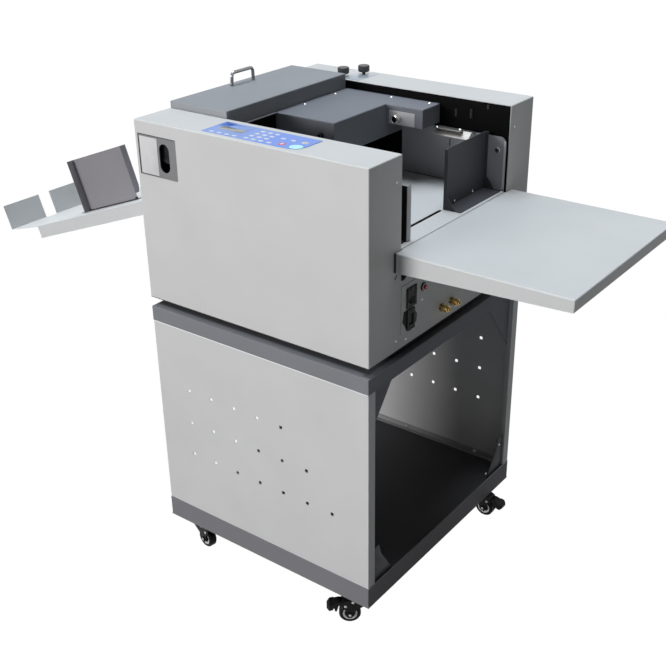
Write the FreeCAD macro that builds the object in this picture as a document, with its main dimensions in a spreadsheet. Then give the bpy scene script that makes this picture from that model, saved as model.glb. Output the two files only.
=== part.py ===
# Paper creasing machine on its castor stand.
#
# The machine stands with its paper path along X: sheets lie on the infeed table at the
# right, are picked up by the suction drum, run to the left through the creasing unit
# under the hinged cover, and drop on the sloping output tray. +Z is up, the operator
# stands at -Y. The origin is on the floor, in the middle of the whole machine's box.
import FreeCAD, Part
import Sketcher
import math
import os

V3 = FreeCAD.Vector
doc = FreeCAD.newDocument("creasing_machine")
sheet = doc.addObject("Spreadsheet::Sheet", "Sizes")
sheet_rows = []
nodes = {}


class Size:
    """A length in mm (or an angle in degrees): its expression and its present value."""

    def __init__(self, text, value):
        self.text = text
        self.value = float(value)

    def joined(self, sign, other, value):
        return Size("(%s %s %s)" % (self.text, sign, other.text), value)

    def __add__(self, other):
        other = as_size(other)
        return self.joined("+", other, self.value + other.value)

    def __radd__(self, other):
        return as_size(other) + self

    def __sub__(self, other):
        other = as_size(other)
        return self.joined("-", other, self.value - other.value)

    def __rsub__(self, other):
        return as_size(other) - self

    def __mul__(self, other):
        other = as_size(other)
        return self.joined("*", other, self.value * other.value)

    def __rmul__(self, other):
        return as_size(other) * self

    def __truediv__(self, other):
        other = as_size(other)
        return self.joined("/", other, self.value / other.value)

    def __neg__(self):
        return Size("(0 - %s)" % self.text, -self.value)


def as_size(number):
    return number if isinstance(number, Size) else Size(repr(float(number)), number)


def sine(angle):
    return Size("sin(%s * 1 deg)" % angle.text, math.sin(math.radians(angle.value)))


def cosine(angle):
    return Size("cos(%s * 1 deg)" % angle.text, math.cos(math.radians(angle.value)))


def size(alias, number, note):
    """A driving size: one row of the sheet, with its note."""
    return sheet_row(alias, str(number), float(number), note)


def place(alias, expression, note):
    """A size or place worked out in the sheet from others."""
    return sheet_row(alias, "=" + expression.text.replace("Sizes.", ""), expression.value, note)


def sheet_row(alias, content, value, note):
    sheet_rows.append(alias)
    row = len(sheet_rows)
    sheet.set("A%d" % row, note)
    sheet.set("B%d" % row, content)
    sheet.setAlias("B%d" % row, alias)
    return Size("Sizes." + alias, value)


def bind(thing, prop, expression):
    thing.setExpression(prop, as_size(expression).text)


def set_place(thing, x=0, y=0, z=0, axis=(0, 0, 1), angle=0.0):
    """Places an object; its corner follows the sheet."""
    where = V3(as_size(x).value, as_size(y).value, as_size(z).value)
    thing.Placement = FreeCAD.Placement(where, FreeCAD.Rotation(V3(*axis), angle))
    bind(thing, "Placement.Base.x", x)
    bind(thing, "Placement.Base.y", y)
    bind(thing, "Placement.Base.z", z)


def box(x, y, z, dx, dy, dz):
    """A Part::Box from its low corner and its lengths."""
    made = doc.addObject("Part::Box", "block")
    bind(made, "Length", dx)
    bind(made, "Width", dy)
    bind(made, "Height", dz)
    set_place(made, x, y, z)
    return made


def rod(axis, x, y, z, radius, length):
    """A Part::Cylinder that starts at a point and runs along +X, +Y or +Z."""
    made = doc.addObject("Part::Cylinder", "rod")
    bind(made, "Radius", radius)
    bind(made, "Height", length)
    turn = {"x": ((0, 1, 0), 90), "y": ((1, 0, 0), -90), "z": ((0, 0, 1), 0)}[axis]
    set_place(made, x, y, z, turn[0], turn[1])
    return made


def union(*pieces):
    made = doc.addObject("Part::MultiFuse", "union")
    made.Shapes = list(pieces)
    return made


def cut(base, *tools):
    made = doc.addObject("Part::Cut", "cut")
    made.Base = base
    made.Tool = tools[0] if len(tools) == 1 else union(*tools)
    return made


def rounded(base, radius, wanted):
    """Fillets the edges of a block whose middle and direction the test accepts."""
    doc.recompute()
    edges = []
    for number, edge in enumerate(base.Shape.Edges, 1):
        middle = edge.valueAt((edge.FirstParameter + edge.LastParameter) / 2)
        along = edge.tangentAt((edge.FirstParameter + edge.LastParameter) / 2)
        if wanted(middle, along, base.Shape.BoundBox):
            edges.append((number, as_size(radius).value, as_size(radius).value))
    made = doc.addObject("Part::Fillet", "rounded")
    made.Base = base
    made.Edges = edges
    return made


def new_body(label):
    made = doc.addObject("PartDesign::Body", "body")
    made.Label = label + "_body"
    return made


def origin_plane(body, role):
    for feature in body.Origin.OriginFeatures:
        if feature.Role == role:
            return feature


def sketch(body, role, loops=(), circles=(), lift=0):
    """A fully placed sketch: closed outlines of points and circles (u, v, radius)."""
    made = body.newObject("Sketcher::SketchObject", "sketch")
    made.AttachmentSupport = [(origin_plane(body, role), "")]
    made.MapMode = "FlatFace"
    made.AttachmentOffset = FreeCAD.Placement(V3(0, 0, as_size(lift).value), FreeCAD.Rotation())
    bind(made, "AttachmentOffset.Base.z", lift)
    for loop in loops:
        points = [(as_size(u), as_size(v)) for u, v in loop]
        ends = points[1:] + points[:1]
        first = made.GeometryCount
        for start, end in zip(points, ends):
            made.addGeometry(Part.LineSegment(V3(start[0].value, start[1].value, 0),
                                              V3(end[0].value, end[1].value, 0)), False)
        for k, (u, v) in enumerate(points):
            follower = first + (k + 1) % len(points)
            made.addConstraint(Sketcher.Constraint("Coincident", first + k, 2, follower, 1))
            pin_point(made, first + k, 1, u, v)
    for u, v, radius in circles:
        u, v, radius = as_size(u), as_size(v), as_size(radius)
        ring = made.addGeometry(Part.Circle(V3(u.value, v.value, 0), V3(0, 0, 1), radius.value), False)
        pin_point(made, ring, 3, u, v)
        number = made.addConstraint(Sketcher.Constraint("Radius", ring, radius.value))
        made.setExpression("Constraints[%d]" % number, radius.text)
    return made


def pin_point(made, line, end, u, v):
    across = made.addConstraint(Sketcher.Constraint("DistanceX", -1, 1, line, end, u.value))
    made.setExpression("Constraints[%d]" % across, u.text)
    upward = made.addConstraint(Sketcher.Constraint("DistanceY", -1, 1, line, end, v.value))
    made.setExpression("Constraints[%d]" % upward, v.text)


def pad(body, drawing, length, flip=False, midplane=False):
    made = body.newObject("PartDesign::Pad", "pad")
    made.Profile = drawing
    bind(made, "Length", length)
    made.Reversed = flip
    if midplane:
        made.SideType = "Symmetric"
    drawing.Visibility = False
    body.Tip = made
    return made


def pocket(body, drawing, length, flip=False, midplane=False):
    """A pocket that must take material away."""
    doc.recompute()
    before = body.Shape.Volume
    made = body.newObject("PartDesign::Pocket", "pocket")
    made.Profile = drawing
    bind(made, "Length", length)
    made.Reversed = flip
    if midplane:
        made.SideType = "Symmetric"
    body.Tip = made
    doc.recompute()
    if not body.Shape.Volume < before - 0.01:
        raise SystemExit(body.Label + ": a pocket cuts nothing")
    return made


def rectangle(u0, v0, u1, v1):
    return [(u0, v0), (u1, v0), (u1, v1), (u0, v1)]


def node(name, thing):
    """Names a finished piece; its label is its file's name."""
    thing.Label = name
    nodes[name] = thing
    return thing


def group(name, pieces):
    """Identical pieces that share one node, each a solid of its own."""
    made = doc.addObject("Part::Compound", "group")
    made.Links = list(pieces)
    return node(name, made)


# ---------------------------------------------------------------- driving sizes
# The frame: how far the machine's front left corner is from the origin.
left_from_origin = size("left_from_origin", 110.5, "origin to the housings' left end")
front_from_origin = size("front_from_origin", 300, "origin to the front housing's face")
machine_left = place("machine_left", -left_from_origin, "x of the housings' left end")
machine_front = place("machine_front", -front_from_origin, "y of the front housing's face")
wall = size("wall", 1.5, "sheet steel of covers and stand")
joint_gap = size("joint_gap", 0.3, "gap between neighbouring sheet parts")
slide_gap = size("slide_gap", 0.2, "gap under a piece that slides on a surface")
running_fit = size("running_fit", 0.05, "radial clearance of a shaft in its hole")
castor_height = size("castor_height", 75, "floor to the stand's underside")
stand_height = size("stand_height", 580, "stand without castors")
stand_length = size("stand_length", 607, "stand along X")
stand_depth = size("stand_depth", 633, "stand along Y")
stand_inset = size("stand_inset", 18.7, "stand's left side inside the housings' left end")
stand_overhang = size("stand_overhang", 17.5, "stand's front ahead of the front housing")
base_band = size("base_band", 53, "height of the dark band at the stand's foot")
top_band = size("top_band", 35, "height of the dark band at the stand's top")
foot_height = size("foot_height", 12, "rubber foot under the machine")
foot_radius = size("foot_radius", 17, "rubber foot")
housing_length = size("housing_length", 614, "both housings along X")
housing_height = size("housing_height", 415, "both housings")
front_depth = size("front_depth", 109, "front housing along Y")
throat_width = size("throat_width", 428, "clear width between the housings")
rear_depth = size("rear_depth", 104, "rear housing along Y")
frame_plate = size("frame_plate", 3, "thickness of the side frames")
feed_rise = size("feed_rise", 221, "housing underside to the infeed table's top")
stand_left = place("stand_left", machine_left + stand_inset, "x of the stand's left side")
stand_front = place("stand_front", machine_front - stand_overhang, "y of the stand's front")
stand_right = place("stand_right", stand_left + stand_length, "x of the stand's right side")
stand_rear = place("stand_rear", stand_front + stand_depth, "y of the stand's rear")
stand_top = place("stand_top", castor_height + stand_height, "z of the stand's top")
panel_low = place("panel_low", castor_height + base_band, "z where the stand panels start")
panel_high = place("panel_high", stand_top - top_band, "z where the stand panels end")
housing_low = place("housing_low", stand_top + foot_height, "z of the housings' underside")
housing_top = place("housing_top", housing_low + housing_height, "z of the housings' top")
machine_right = place("machine_right", machine_left + housing_length, "x of the housings' right end")
throat_front = place("throat_front", machine_front + front_depth, "y of the throat's front wall")
throat_rear = place("throat_rear", throat_front + throat_width, "y of the throat's rear wall")
machine_rear = place("machine_rear", throat_rear + rear_depth, "y of the rear housing's back")
feed_level = place("feed_level", housing_low + feed_rise, "z of the table and infeed tray")

# Stand.
corner_radius = size("corner_radius", 2.5, "bend radius of the covers' edges")
hem = size("hem", 3, "folded hem round the shelf")
shelf_drop = size("shelf_drop", 12, "shelf below the base band's top edge")
castor_left_inset = size("castor_left_inset", 64, "left castors' axis from the stand's left side")
castor_right_inset = size("castor_right_inset", 43, "right castors' axis from the stand's right side")
castor_front_inset = size("castor_front_inset", 34, "front castor axis from the stand's front")
castor_rear_inset = size("castor_rear_inset", 80, "rear castor axis from the stand's back")
castor_plate = size("castor_plate", 32, "half width of the plate over a castor")
race_radius = size("race_radius", 19, "castor's swivel race")
race_height = size("race_height", 4, "castor's swivel race")
kingpin_radius = size("kingpin_radius", 5, "castor's kingpin")
kingpin_length = size("kingpin_length", 12, "kingpin below the stand")
castor_left = place("castor_left", stand_left + castor_left_inset, "x of the left castors")
castor_right = place("castor_right", stand_right - castor_right_inset, "x of the right castors")
castor_front = place("castor_front", stand_front + castor_front_inset, "y of the front castors")
castor_rear = place("castor_rear", stand_rear - castor_rear_inset, "y of the rear castors")
panel_step = size("panel_step", 1.5, "stand panels stand back from the bands")
panel_return = size("panel_return", 24, "folded return at each end of a stand panel")
panel_lip = size("panel_lip", 10, "second fold of the return")
vent_side = size("vent_side", 8, "square vent hole")
vent_pitch_x = size("vent_pitch_x", 68.6, "vent holes along a row")
vent_pitch_z = size("vent_pitch_z", 86, "between rows of vent holes")
vent_first_x = size("vent_first_x", 97, "first vent hole's centre from the stand's end")
vent_low_row = size("vent_low_row", 161, "lowest row above the band")
gusset_reach = size("gusset_reach", 128, "gusset along the stand's top")
gusset_drop = size("gusset_drop", 152, "gusset down the panel")
gusset_flange = size("gusset_flange", 14, "folded flange of a gusset")

# Castors.
wheel_radius = size("wheel_radius", 25, "castor wheel")
wheel_width = size("wheel_width", 20, "castor wheel's tread")
trail = size("trail", 27, "swivel axis to wheel axle")
fork_width = size("fork_width", 29, "outside of the fork's cheeks")
fork_slot = size("fork_slot", 24.4, "between the fork's cheeks")
fork_top = size("fork_top", 70.7, "fork's crown above the floor")
crown_low = size("crown_low", 58, "underside of the crown")
axle_radius = size("axle_radius", 4, "castor axle")
pedal_pin_x = size("pedal_pin_x", 41, "pedal pin from the swivel axis")
pedal_pin_z = size("pedal_pin_z", 53, "pedal pin above the floor")
pedal_pin_radius = size("pedal_pin_radius", 2.5, "pedal pin")
pedal_reach = size("pedal_reach", 80, "pedal's tip from the swivel axis")
pedal_tip = size("pedal_tip", 38, "pedal's curled toe above the floor")
pedal_width = size("pedal_width", 30, "pedal's toe across the castor")
pedal_shoe = size("pedal_shoe", 20, "brake shoe below the pedal's pin")

# Feet, pan and side frames.
foot_inset = size("foot_inset", 40, "rubber foot from the machine's ends and sides")
frame_recess = size("frame_recess", 0.5, "side frame's face behind the housing's edge")
frame_low = place("frame_low", housing_low + wall, "z where housings and frames stand on the pan")
frame_high = place("frame_high", housing_top - wall, "z of the side frames' top")
front_frame = place("front_frame", throat_front - frame_recess - frame_plate, "y of the front side frame")
front_face = place("front_face", throat_front - frame_recess, "y of its face to the throat")
rear_face = place("rear_face", throat_rear + frame_recess, "y of the rear frame's face to the throat")
rear_frame_back = place("rear_frame_back", rear_face + frame_plate, "y of the rear frame's back")
shaft_radius = size("shaft_radius", 4, "every roller shaft")
hole_radius = place("hole_radius", shaft_radius + running_fit, "shaft holes in the side frames")
roller_radius = size("roller_radius", 15, "feed roller")
roller_gap = size("roller_gap", 0.4, "between the two rollers of a pair")
tooth_module = size("tooth_module", 1.5, "module of the gear train")
roller_teeth = 20
idler_teeth = 45
pinion_teeth = 15
gear_width = size("gear_width", 8, "face width of the gears")
gear_space = size("gear_space", 2.5, "rear frame to the gears")
crease_x = size("crease_x", 84.5, "creasing line from the housings' left end")
nip_rise = size("nip_rise", 308, "housing underside to the paper's path through the rollers")
cam_rise = size("cam_rise", 352, "housing underside to the cam shaft")
crease_line = place("crease_line", machine_left + crease_x, "x of the creasing line")
roller_spread = place("roller_spread", tooth_module * (roller_teeth + idler_teeth) / 2,
                      "creasing line to each roller pair")
outfeed_x = place("outfeed_x", crease_line - roller_spread, "x of the outfeed rollers")
infeed_x = place("infeed_x", crease_line + roller_spread, "x of the infeed rollers")
nip_level = place("nip_level", housing_low + nip_rise, "z of the paper's path")
lower_axis = place("lower_axis", nip_level - roller_radius, "z of the lower rollers and the idler")
upper_axis = place("upper_axis", nip_level + roller_gap + roller_radius, "z of the upper rollers")
pinion_axis = place("pinion_axis", lower_axis - tooth_module * (pinion_teeth + idler_teeth) / 2,
                    "z of the motor's pinion")
cam_axis = place("cam_axis", housing_low + cam_rise, "z of the cam shaft")
gear_face = place("gear_face", rear_frame_back + gear_space, "y of the gears' near face")
drum_x = size("drum_x", 250, "suction drum from the housings' left end")
drum_rise = size("drum_rise", 338, "housing underside to the drum's axis")
drum_line = place("drum_line", machine_left + drum_x, "x of the suction drum")
drum_axis = place("drum_axis", housing_low + drum_rise, "z of the suction drum")
holder_width = size("holder_width", 25, "blade holder and die along X")
tongue_width = size("tongue_width", 13, "blade holder's tongue in the frames")
tongue_height = size("tongue_height", 14, "blade holder's tongue in the frames")
blade_travel = size("blade_travel", 2.6, "stroke of the creasing blade")
blade_rest = size("blade_rest", 1.7, "blade's edge above the paper path at rest")
holder_low = place("holder_low", nip_level + blade_rest, "z of the blade's edge")
tongue_low = place("tongue_low", holder_low + 12, "z of the tongues' underside")
cover_left = size("cover_left", 1, "top cover from the housings' left end")
cover_length = size("cover_length", 167, "top cover along X")
cover_side_gap = size("cover_side_gap", 1.5, "top cover to the housings")
cover_skirt = size("cover_skirt", 35.5, "top cover's depth")
cover_rise = size("cover_rise", 15.5, "top cover above the housings")
hinge_inset = size("hinge_inset", 8, "hinge pin from the cover's right edge")
hinge_drop = size("hinge_drop", 25.5, "hinge pin below the cover's top")
hinge_pin = size("hinge_pin", 3, "hinge pin's radius")
hinge_reach = size("hinge_reach", 5.5, "hinge pin into the throat")
cover_top = place("cover_top", housing_top + cover_rise, "z of the top cover")
cover_low = place("cover_low", cover_top - cover_skirt, "z of the cover's skirts")
hinge_x = place("hinge_x", machine_left + cover_left + cover_length - hinge_inset, "x of the hinge pins")
hinge_z = place("hinge_z", cover_top - hinge_drop, "z of the hinge pins")
rod_radius = size("rod_radius", 6, "guide rods of the table's lift")
lift_x = size("lift_x", 420, "elevator screw from the housings' left end")
lift_spread = size("lift_spread", 70, "elevator screw to each guide rod")
screw_radius = size("screw_radius", 5, "elevator screw")
screw_top_gap = size("screw_top_gap", 4, "screw's and rods' tops below the table's top")
screw_line = place("screw_line", machine_left + lift_x, "x of the elevator screw")
lift_middle = place("lift_middle", (throat_front + throat_rear) / 2, "y of the elevator screw")
rod_top = place("rod_top", feed_level - screw_top_gap, "z of the rods' and the screw's tops")

# Housings and end panels.
plate_left = size("plate_left", 8, "access opening from the housings' left end")
plate_length = size("plate_length", 112.5, "access opening along X")
plate_rise = size("plate_rise", 296, "housing underside to the access opening")
plate_height = size("plate_height", 90.5, "access opening")
plate_corner = size("plate_corner", 4, "access opening's corners")
plate_flange = size("plate_flange", 4, "access plate's rim behind the housing")
plate_recess = size("plate_recess", 0.5, "access plate's face behind the housing's")
left_knob_x = size("left_knob_x", 137.5, "left air knob from the housings' left end")
left_knob_y = size("left_knob_y", 30, "left air knob behind the throat")
right_knob_x = size("right_knob_x", 167, "right air knob from the housings' left end")
right_knob_y = size("right_knob_y", 74, "right air knob behind the throat")
stem_radius = size("stem_radius", 4, "air knobs' stems")
slot_width = size("slot_width", 29, "handwheel slot in the access plate")
slot_height = size("slot_height", 63, "handwheel slot in the access plate")
slot_rise = size("slot_rise", 341, "housing underside to the slot's middle")
end_panel_rise = size("end_panel_rise", 197, "housing underside to the infeed end panel's top")
out_panel_rise = size("out_panel_rise", 389, "housing underside to the output end panel's top")
panel_fold = size("panel_fold", 10, "inward fold at the end panels' top")
exit_inset = size("exit_inset", 16, "exit slot's ends from the throat walls")
exit_low = size("exit_low", 17, "exit slot below the paper's path")
exit_high = size("exit_high", 17, "exit slot above the paper's path")
hook_thickness = size("hook_thickness", 3, "tray hooks")
hook_inset = size("hook_inset", 10, "tray hooks from the throat walls")
hook_drop = size("hook_drop", 70, "tray level to the hooks' slots")
hook_slot = size("hook_slot", 22, "height of the hooks' slots")
hook_front = place("hook_front", throat_front + hook_inset, "y of the front hooks")
hook_rear = place("hook_rear", throat_rear - hook_inset - hook_thickness, "y of the rear hooks")
slot_top = place("slot_top", feed_level - hook_drop + hook_slot, "z of the hook slots' top")
power_low = size("power_low", 32, "power panel above the housing's underside")
power_high = size("power_high", 107, "power panel's height")
power_step = size("power_step", 57, "height of the power panel's narrow part")
power_side = size("power_side", 3, "power panel from the throat's front wall")
power_narrow = size("power_narrow", 69, "power panel's narrow part along Y")
power_wide = size("power_wide", 96, "power panel's wide part along Y")
power_front = place("power_front", throat_front + power_side, "y of the power panel")
power_z = place("power_z", housing_low + power_low, "z of the power panel")
end_face = place("end_face", machine_right, "x of the infeed end panel's face")
window_margin = size("window_margin", 9, "end panel's window inside the power panel")
fitting_rise = size("fitting_rise", 35, "air fittings above the housing's underside")
fitting_first = size("fitting_first", 160, "first air fitting behind the throat's front wall")
fitting_pitch = size("fitting_pitch", 41.4, "between the air fittings")
fitting_radius = size("fitting_radius", 4.8, "air fittings' spigots")
fitting_thread = size("fitting_thread", 6, "air fittings' threads through the panel")
wall_left = size("wall_left", 168.5, "cross wall from the housings' left end")
wall_top_drop = size("wall_top_drop", 4, "cross wall's ledge below the cover's skirts")
wall_drop = size("wall_drop", 58, "cross wall's height")
wall_ledge = size("wall_ledge", 12, "cross wall's ledge")

# Top cover and its handle.
handle_radius = size("handle_radius", 4, "cover handle's rod")
handle_x = size("handle_x", 22, "handle from the cover's left edge")
handle_foot = size("handle_foot", 75, "between the handle's feet")
handle_grip = size("handle_grip", 72, "handle's straight grip")
handle_height = size("handle_height", 33, "handle's top above the cover")
handle_bend = size("handle_bend", 9, "handle's bend radius at its axis")
handle_y = size("handle_y", 218.5, "handle's middle behind the throat's front wall")

# Feed head.
head_left = size("head_left", 170, "feed head from the housings' left end")
head_length = size("head_length", 163, "feed head's block along X")
head_front = size("head_front", 159, "feed head's front behind the throat's front wall")
head_height = size("head_height", 75, "feed head's block")
head_drop = size("head_drop", 20, "feed head's top below the housings' top")
arm_length = size("arm_length", 99, "feed head's arm along X")
arm_front = size("arm_front", 356, "arm's front behind the throat's front wall")
arm_height = size("arm_height", 44, "feed head's arm")
head_knob_x = size("head_knob_x", 32, "knob along the arm")
head_knob_drop = size("head_knob_drop", 29, "knob below the head's top")
side_knob_x = size("side_knob_x", 130, "small knob along the block")
side_knob_drop = size("side_knob_drop", 32, "small knob below the head's top")
knob_stem = size("knob_stem", 3, "feed head knobs' stems")
head_top = place("head_top", housing_top - head_drop, "z of the feed head's top")
head_x0 = place("head_x0", machine_left + head_left, "x of the feed head")
head_x1 = place("head_x1", head_x0 + head_length, "x where the arm starts")
head_y0 = place("head_y0", throat_front + head_front, "y of the feed head's front")
arm_y0 = place("arm_y0", throat_front + arm_front, "y of the arm's front")
air_knob_radius = size("air_knob_radius", 14, "air knobs on the rear housing")
air_knob_height = size("air_knob_height", 21, "air knobs' tops above the housing")
air_knob_neck = size("air_knob_neck", 6, "air knobs' necks")
air_stem_reach = size("air_stem_reach", 12, "air knobs' stems below the housing's top")
knob_flute = size("knob_flute", 1.1, "finger flutes of the knobs")
head_knob_radius = size("head_knob_radius", 9.5, "knob on the feed head's arm")
head_knob_length = size("head_knob_length", 14, "knob on the feed head's arm")
side_knob_radius = size("side_knob_radius", 6, "small knob on the feed head's front")
side_knob_length = size("side_knob_length", 10, "small knob on the feed head's front")
knob_standoff = size("knob_standoff", 1, "feed head knobs in front of their walls")
drum_radius = size("drum_radius", 20, "suction drum")
drum_front = size("drum_front", 22, "suction drum's end behind the feed head's front")
drum_rear = size("drum_rear", 17.5, "suction drum's end before the rear frame")
guide_front_gap = size("guide_front_gap", 5, "rear side guide's face to the throat's rear wall")
guide_left = size("guide_left", 334, "rear side guide from the housings' left end")
guide_end_gap = size("guide_end_gap", 5, "rear side guide's right end from the housings' right end")
guide_length = place("guide_length", housing_length - guide_left - guide_end_gap, "rear side guide along X")
guide_height = size("guide_height", 122, "rear side guide")
guide_corner = size("guide_corner", 15, "rear side guide's right corner")
guide_foot_gap = size("guide_foot_gap", 1, "rear side guide above the table")
spacer_radius = size("spacer_radius", 6, "rear side guide's spacers")
guide_y = place("guide_y", throat_rear - guide_front_gap, "y of the rear side guide's face")
nozzle_gap = size("nozzle_gap", 0.5, "separator nozzle to the feed head's arm")
nozzle_length = size("nozzle_length", 95, "separator nozzle along X")
nozzle_depth = size("nozzle_depth", 27, "separator nozzle along Y")
nozzle_rise = size("nozzle_rise", 2, "separator nozzle's top above the side guide")
nozzle_dip = size("nozzle_dip", 14, "separator nozzle's lip below its top")
pump_length = size("pump_length", 150, "vacuum pump along X")
pump_depth = size("pump_depth", 160, "vacuum pump along Y")
pump_height = size("pump_height", 110, "vacuum pump")

# Infeed table and its guides.
table_left = size("table_left", 215, "infeed table from the housings' left end")
table_gap = size("table_gap", 0.8, "infeed table to the end panel")
table_front_gap = size("table_front_gap", 4, "infeed table to the throat's front wall")
table_rear_gap = size("table_rear_gap", 6, "infeed table to the throat's rear wall")
table_plate = size("table_plate", 2, "infeed table's thickness")
table_skirt = size("table_skirt", 20, "infeed table's depth at its edges")
table_slot_x = size("table_slot_x", 53, "slot in the table from its right edge")
table_slot_y = size("table_slot_y", 110, "slot's front end from the table's front")
table_slot_length = size("table_slot_length", 120, "slot in the table")
table_slot_width = size("table_slot_width", 8, "slot in the table")
nut_height = size("nut_height", 18, "nut on the elevator screw")
nut_rise = size("nut_rise", 18, "nut above the pan with the table down")
table_x0 = place("table_x0", machine_left + table_left, "x of the table's left edge")
table_x1 = place("table_x1", end_face - wall - table_gap, "x of the table's right edge")
table_y0 = place("table_y0", throat_front + table_front_gap, "y of the table's front edge")
table_y1 = place("table_y1", throat_rear - table_rear_gap, "y of the table's rear edge")
stop_x = size("stop_x", 51.5, "infeed backstop's face from the table's right edge")
stop_y = size("stop_y", 244, "infeed backstop from the throat's front wall")
stop_width = size("stop_width", 172, "infeed backstop along Y")
stop_height = size("stop_height", 133, "infeed backstop")
stop_flange = size("stop_flange", 8, "backstop's side flanges at the top")
stop_flare = size("stop_flare", 30, "backstop's side flanges at the foot, and where they flare")
stop_foot = size("stop_foot", 44, "backstop's foot plate behind its face")
stop_plate = size("stop_plate", 2, "backstop's sheet")
front_guide_y = size("front_guide_y", 39.5, "front side guide's face from the throat's front wall")
front_guide_x = size("front_guide_x", 130, "front side guide from the table's left edge")
front_guide_length = size("front_guide_length", 255, "front side guide along X")
front_guide_height = size("front_guide_height", 116, "front side guide")
front_guide_return = size("front_guide_return", 14, "front side guide's folded end")
front_guide_foot = size("front_guide_foot", 34, "front side guide's magnetic foot along Y")

# Trays.
tray_gap = size("tray_gap", 1, "infeed tray from the end panel")
tray_length = size("tray_length", 381, "infeed tray along X")
tray_width = size("tray_width", 470, "both trays along Y")
tray_side = size("tray_side", 22, "trays' front edge ahead of the throat's front wall")
tray_depth = size("tray_depth", 42, "infeed tray's skirt at the machine")
tray_end_depth = size("tray_end_depth", 26, "infeed tray's skirt at its outer end")
hook_reach = size("hook_reach", 36, "tray hooks along the tray")
hook_root = size("hook_root", 68, "tray hooks' height at the machine")
hook_tongue = size("hook_tongue", 6, "tray hooks' tongues through the end panel")
hook_lip = size("hook_lip", 12, "tray hooks' height inside the end panel")
hook_seat = size("hook_seat", 0.3, "tray hooks' tongues to the panel's back")
tray_front = place("tray_front", throat_front - tray_side, "y of both trays' front edge")
slope = size("slope", 20.3, "output tray's slope in degrees")
out_length = size("out_length", 537, "output tray's wide part along the slope")
out_taper = size("out_taper", 801, "output tray's flaps start, along the slope")
out_width = size("out_width", 283, "output tray's width at the flaps")
out_skirt = size("out_skirt", 32, "output tray's skirts")
flap_width = size("flap_width", 122.5, "each flap at the output tray's end")
flap_height = size("flap_height", 68, "flaps at the output tray's end")
notch_depth = size("notch_depth", 20, "notch between the flaps")
down = cosine(slope)
fall = sine(slope)
out_stop = size("out_stop", 386, "output side plate's lower end along the slope")
out_stop_length = size("out_stop_length", 195, "output side plate along the slope")
out_stop_height = size("out_stop_height", 134, "output side plate")
out_stop_flange = size("out_stop_flange", 18, "output side plate's end flanges")
out_stop_chamfer = size("out_stop_chamfer", 16, "chamfer and foot of the upper flange")
out_stop_foot = size("out_stop_foot", 36, "output side plate's foot past its lower end")
out_stop_inset = size("out_stop_inset", 63, "output side plate behind the tray's front edge")

# Operator controls.
film_x = size("film_x", 185.4, "control panel from the housings' left end")
film_y = size("film_y", 13.4, "control panel behind the front housing's face")
film_length = size("film_length", 252.6, "control panel along X")
film_depth = size("film_depth", 78.6, "control panel along Y")
film_corner = size("film_corner", 34, "control panel's large front corner")
film_thickness = size("film_thickness", 1, "control panel's thickness")
window_x = size("window_x", 11, "display window along the panel")
window_y = size("window_y", 44, "display window across the panel")
window_length = size("window_length", 75, "display window along X")
window_depth = size("window_depth", 28, "display window along Y")
window_recess = size("window_recess", 0.5, "display window below the panel's face")
rocker_y = size("rocker_y", 35.3, "rocker switch along the power panel")
rocker_z = size("rocker_z", 72.5, "rocker switch up the power panel")
rocker_width = size("rocker_width", 16.6, "rocker along Y")
rocker_height = size("rocker_height", 22, "rocker along Z")
rocker_play = size("rocker_play", 1.6, "rocker's ends to its bezel when level")
rocker_swing = size("rocker_swing", 20, "rocker's whole swing in degrees")
rocker_depth = size("rocker_depth", 2, "rocker's pivot behind the end panel's face")
bezel_width = size("bezel_width", 24, "rocker's bezel along Y")
bezel_height = size("bezel_height", 32, "rocker's bezel along Z")
bezel_rise = size("bezel_rise", 2, "rocker's bezel in front of the panel")
pivot_radius = size("pivot_radius", 1.5, "rocker's pivot pins")
button_y = size("button_y", 80.6, "breaker button along the power panel")
button_z = size("button_z", 80, "breaker button up the power panel")
button_radius = size("button_radius", 5, "breaker button")
button_collar = size("button_collar", 4, "breaker button's collar in front of the panel")
button_rise = size("button_rise", 5, "breaker button out of its collar")
inlet_y = size("inlet_y", 33, "mains inlet along the power panel")
inlet_z = size("inlet_z", 25, "mains inlet up the power panel")
inlet_width = size("inlet_width", 28, "mains inlet's flange along Y")
inlet_height = size("inlet_height", 48, "mains inlet's flange along Z")
inlet_flange = size("inlet_flange", 3, "mains inlet's flange")
inlet_body_width = size("inlet_body_width", 22, "mains inlet's body along Y")
inlet_body_height = size("inlet_body_height", 30, "mains inlet's body along Z")
inlet_depth = size("inlet_depth", 22, "mains inlet's body behind its flange")
inlet_mouth_width = size("inlet_mouth_width", 17, "mains inlet's mouth along Y")
inlet_mouth_height = size("inlet_mouth_height", 24.5, "mains inlet's mouth along Z")
inlet_screws = size("inlet_screws", 40, "between the mains inlet's screws")
inlet_screw = size("inlet_screw", 1.75, "mains inlet's screw holes")
panel_face = place("panel_face", end_face + wall, "x of the power panel's face")

# Creasing unit.
roller_inset = size("roller_inset", 3, "rollers' ends from the side frames")
tyre_width = size("tyre_width", 40, "rubber tyre on the upper rollers")
tyre_depth = size("tyre_depth", 1.5, "rubber tyre above its core")
shaft_overrun = size("shaft_overrun", 2, "shafts past the front side frame")
pressure_angle = 20
tooth_thinning = 0.2
root_factor = 1.25
idler_phase = 0.0
motor_radius = size("motor_radius", 30, "drive motor")
motor_length = size("motor_length", 67, "drive motor")
motor_shaft = size("motor_shaft", 18, "drive motor's shaft in its bearing")
wheel_hand_radius = size("wheel_hand_radius", 26, "handwheel")
wheel_hand_width = size("wheel_hand_width", 12, "handwheel's rim")
wheel_hand_y = size("wheel_hand_y", 12, "handwheel behind the front housing's face")
cam_throw = size("cam_throw", 1.3, "eccentrics' offset from the cam shaft")
cam_radius = size("cam_radius", 8, "eccentrics")
cam_length = size("cam_length", 16, "eccentrics along the shaft")
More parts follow.
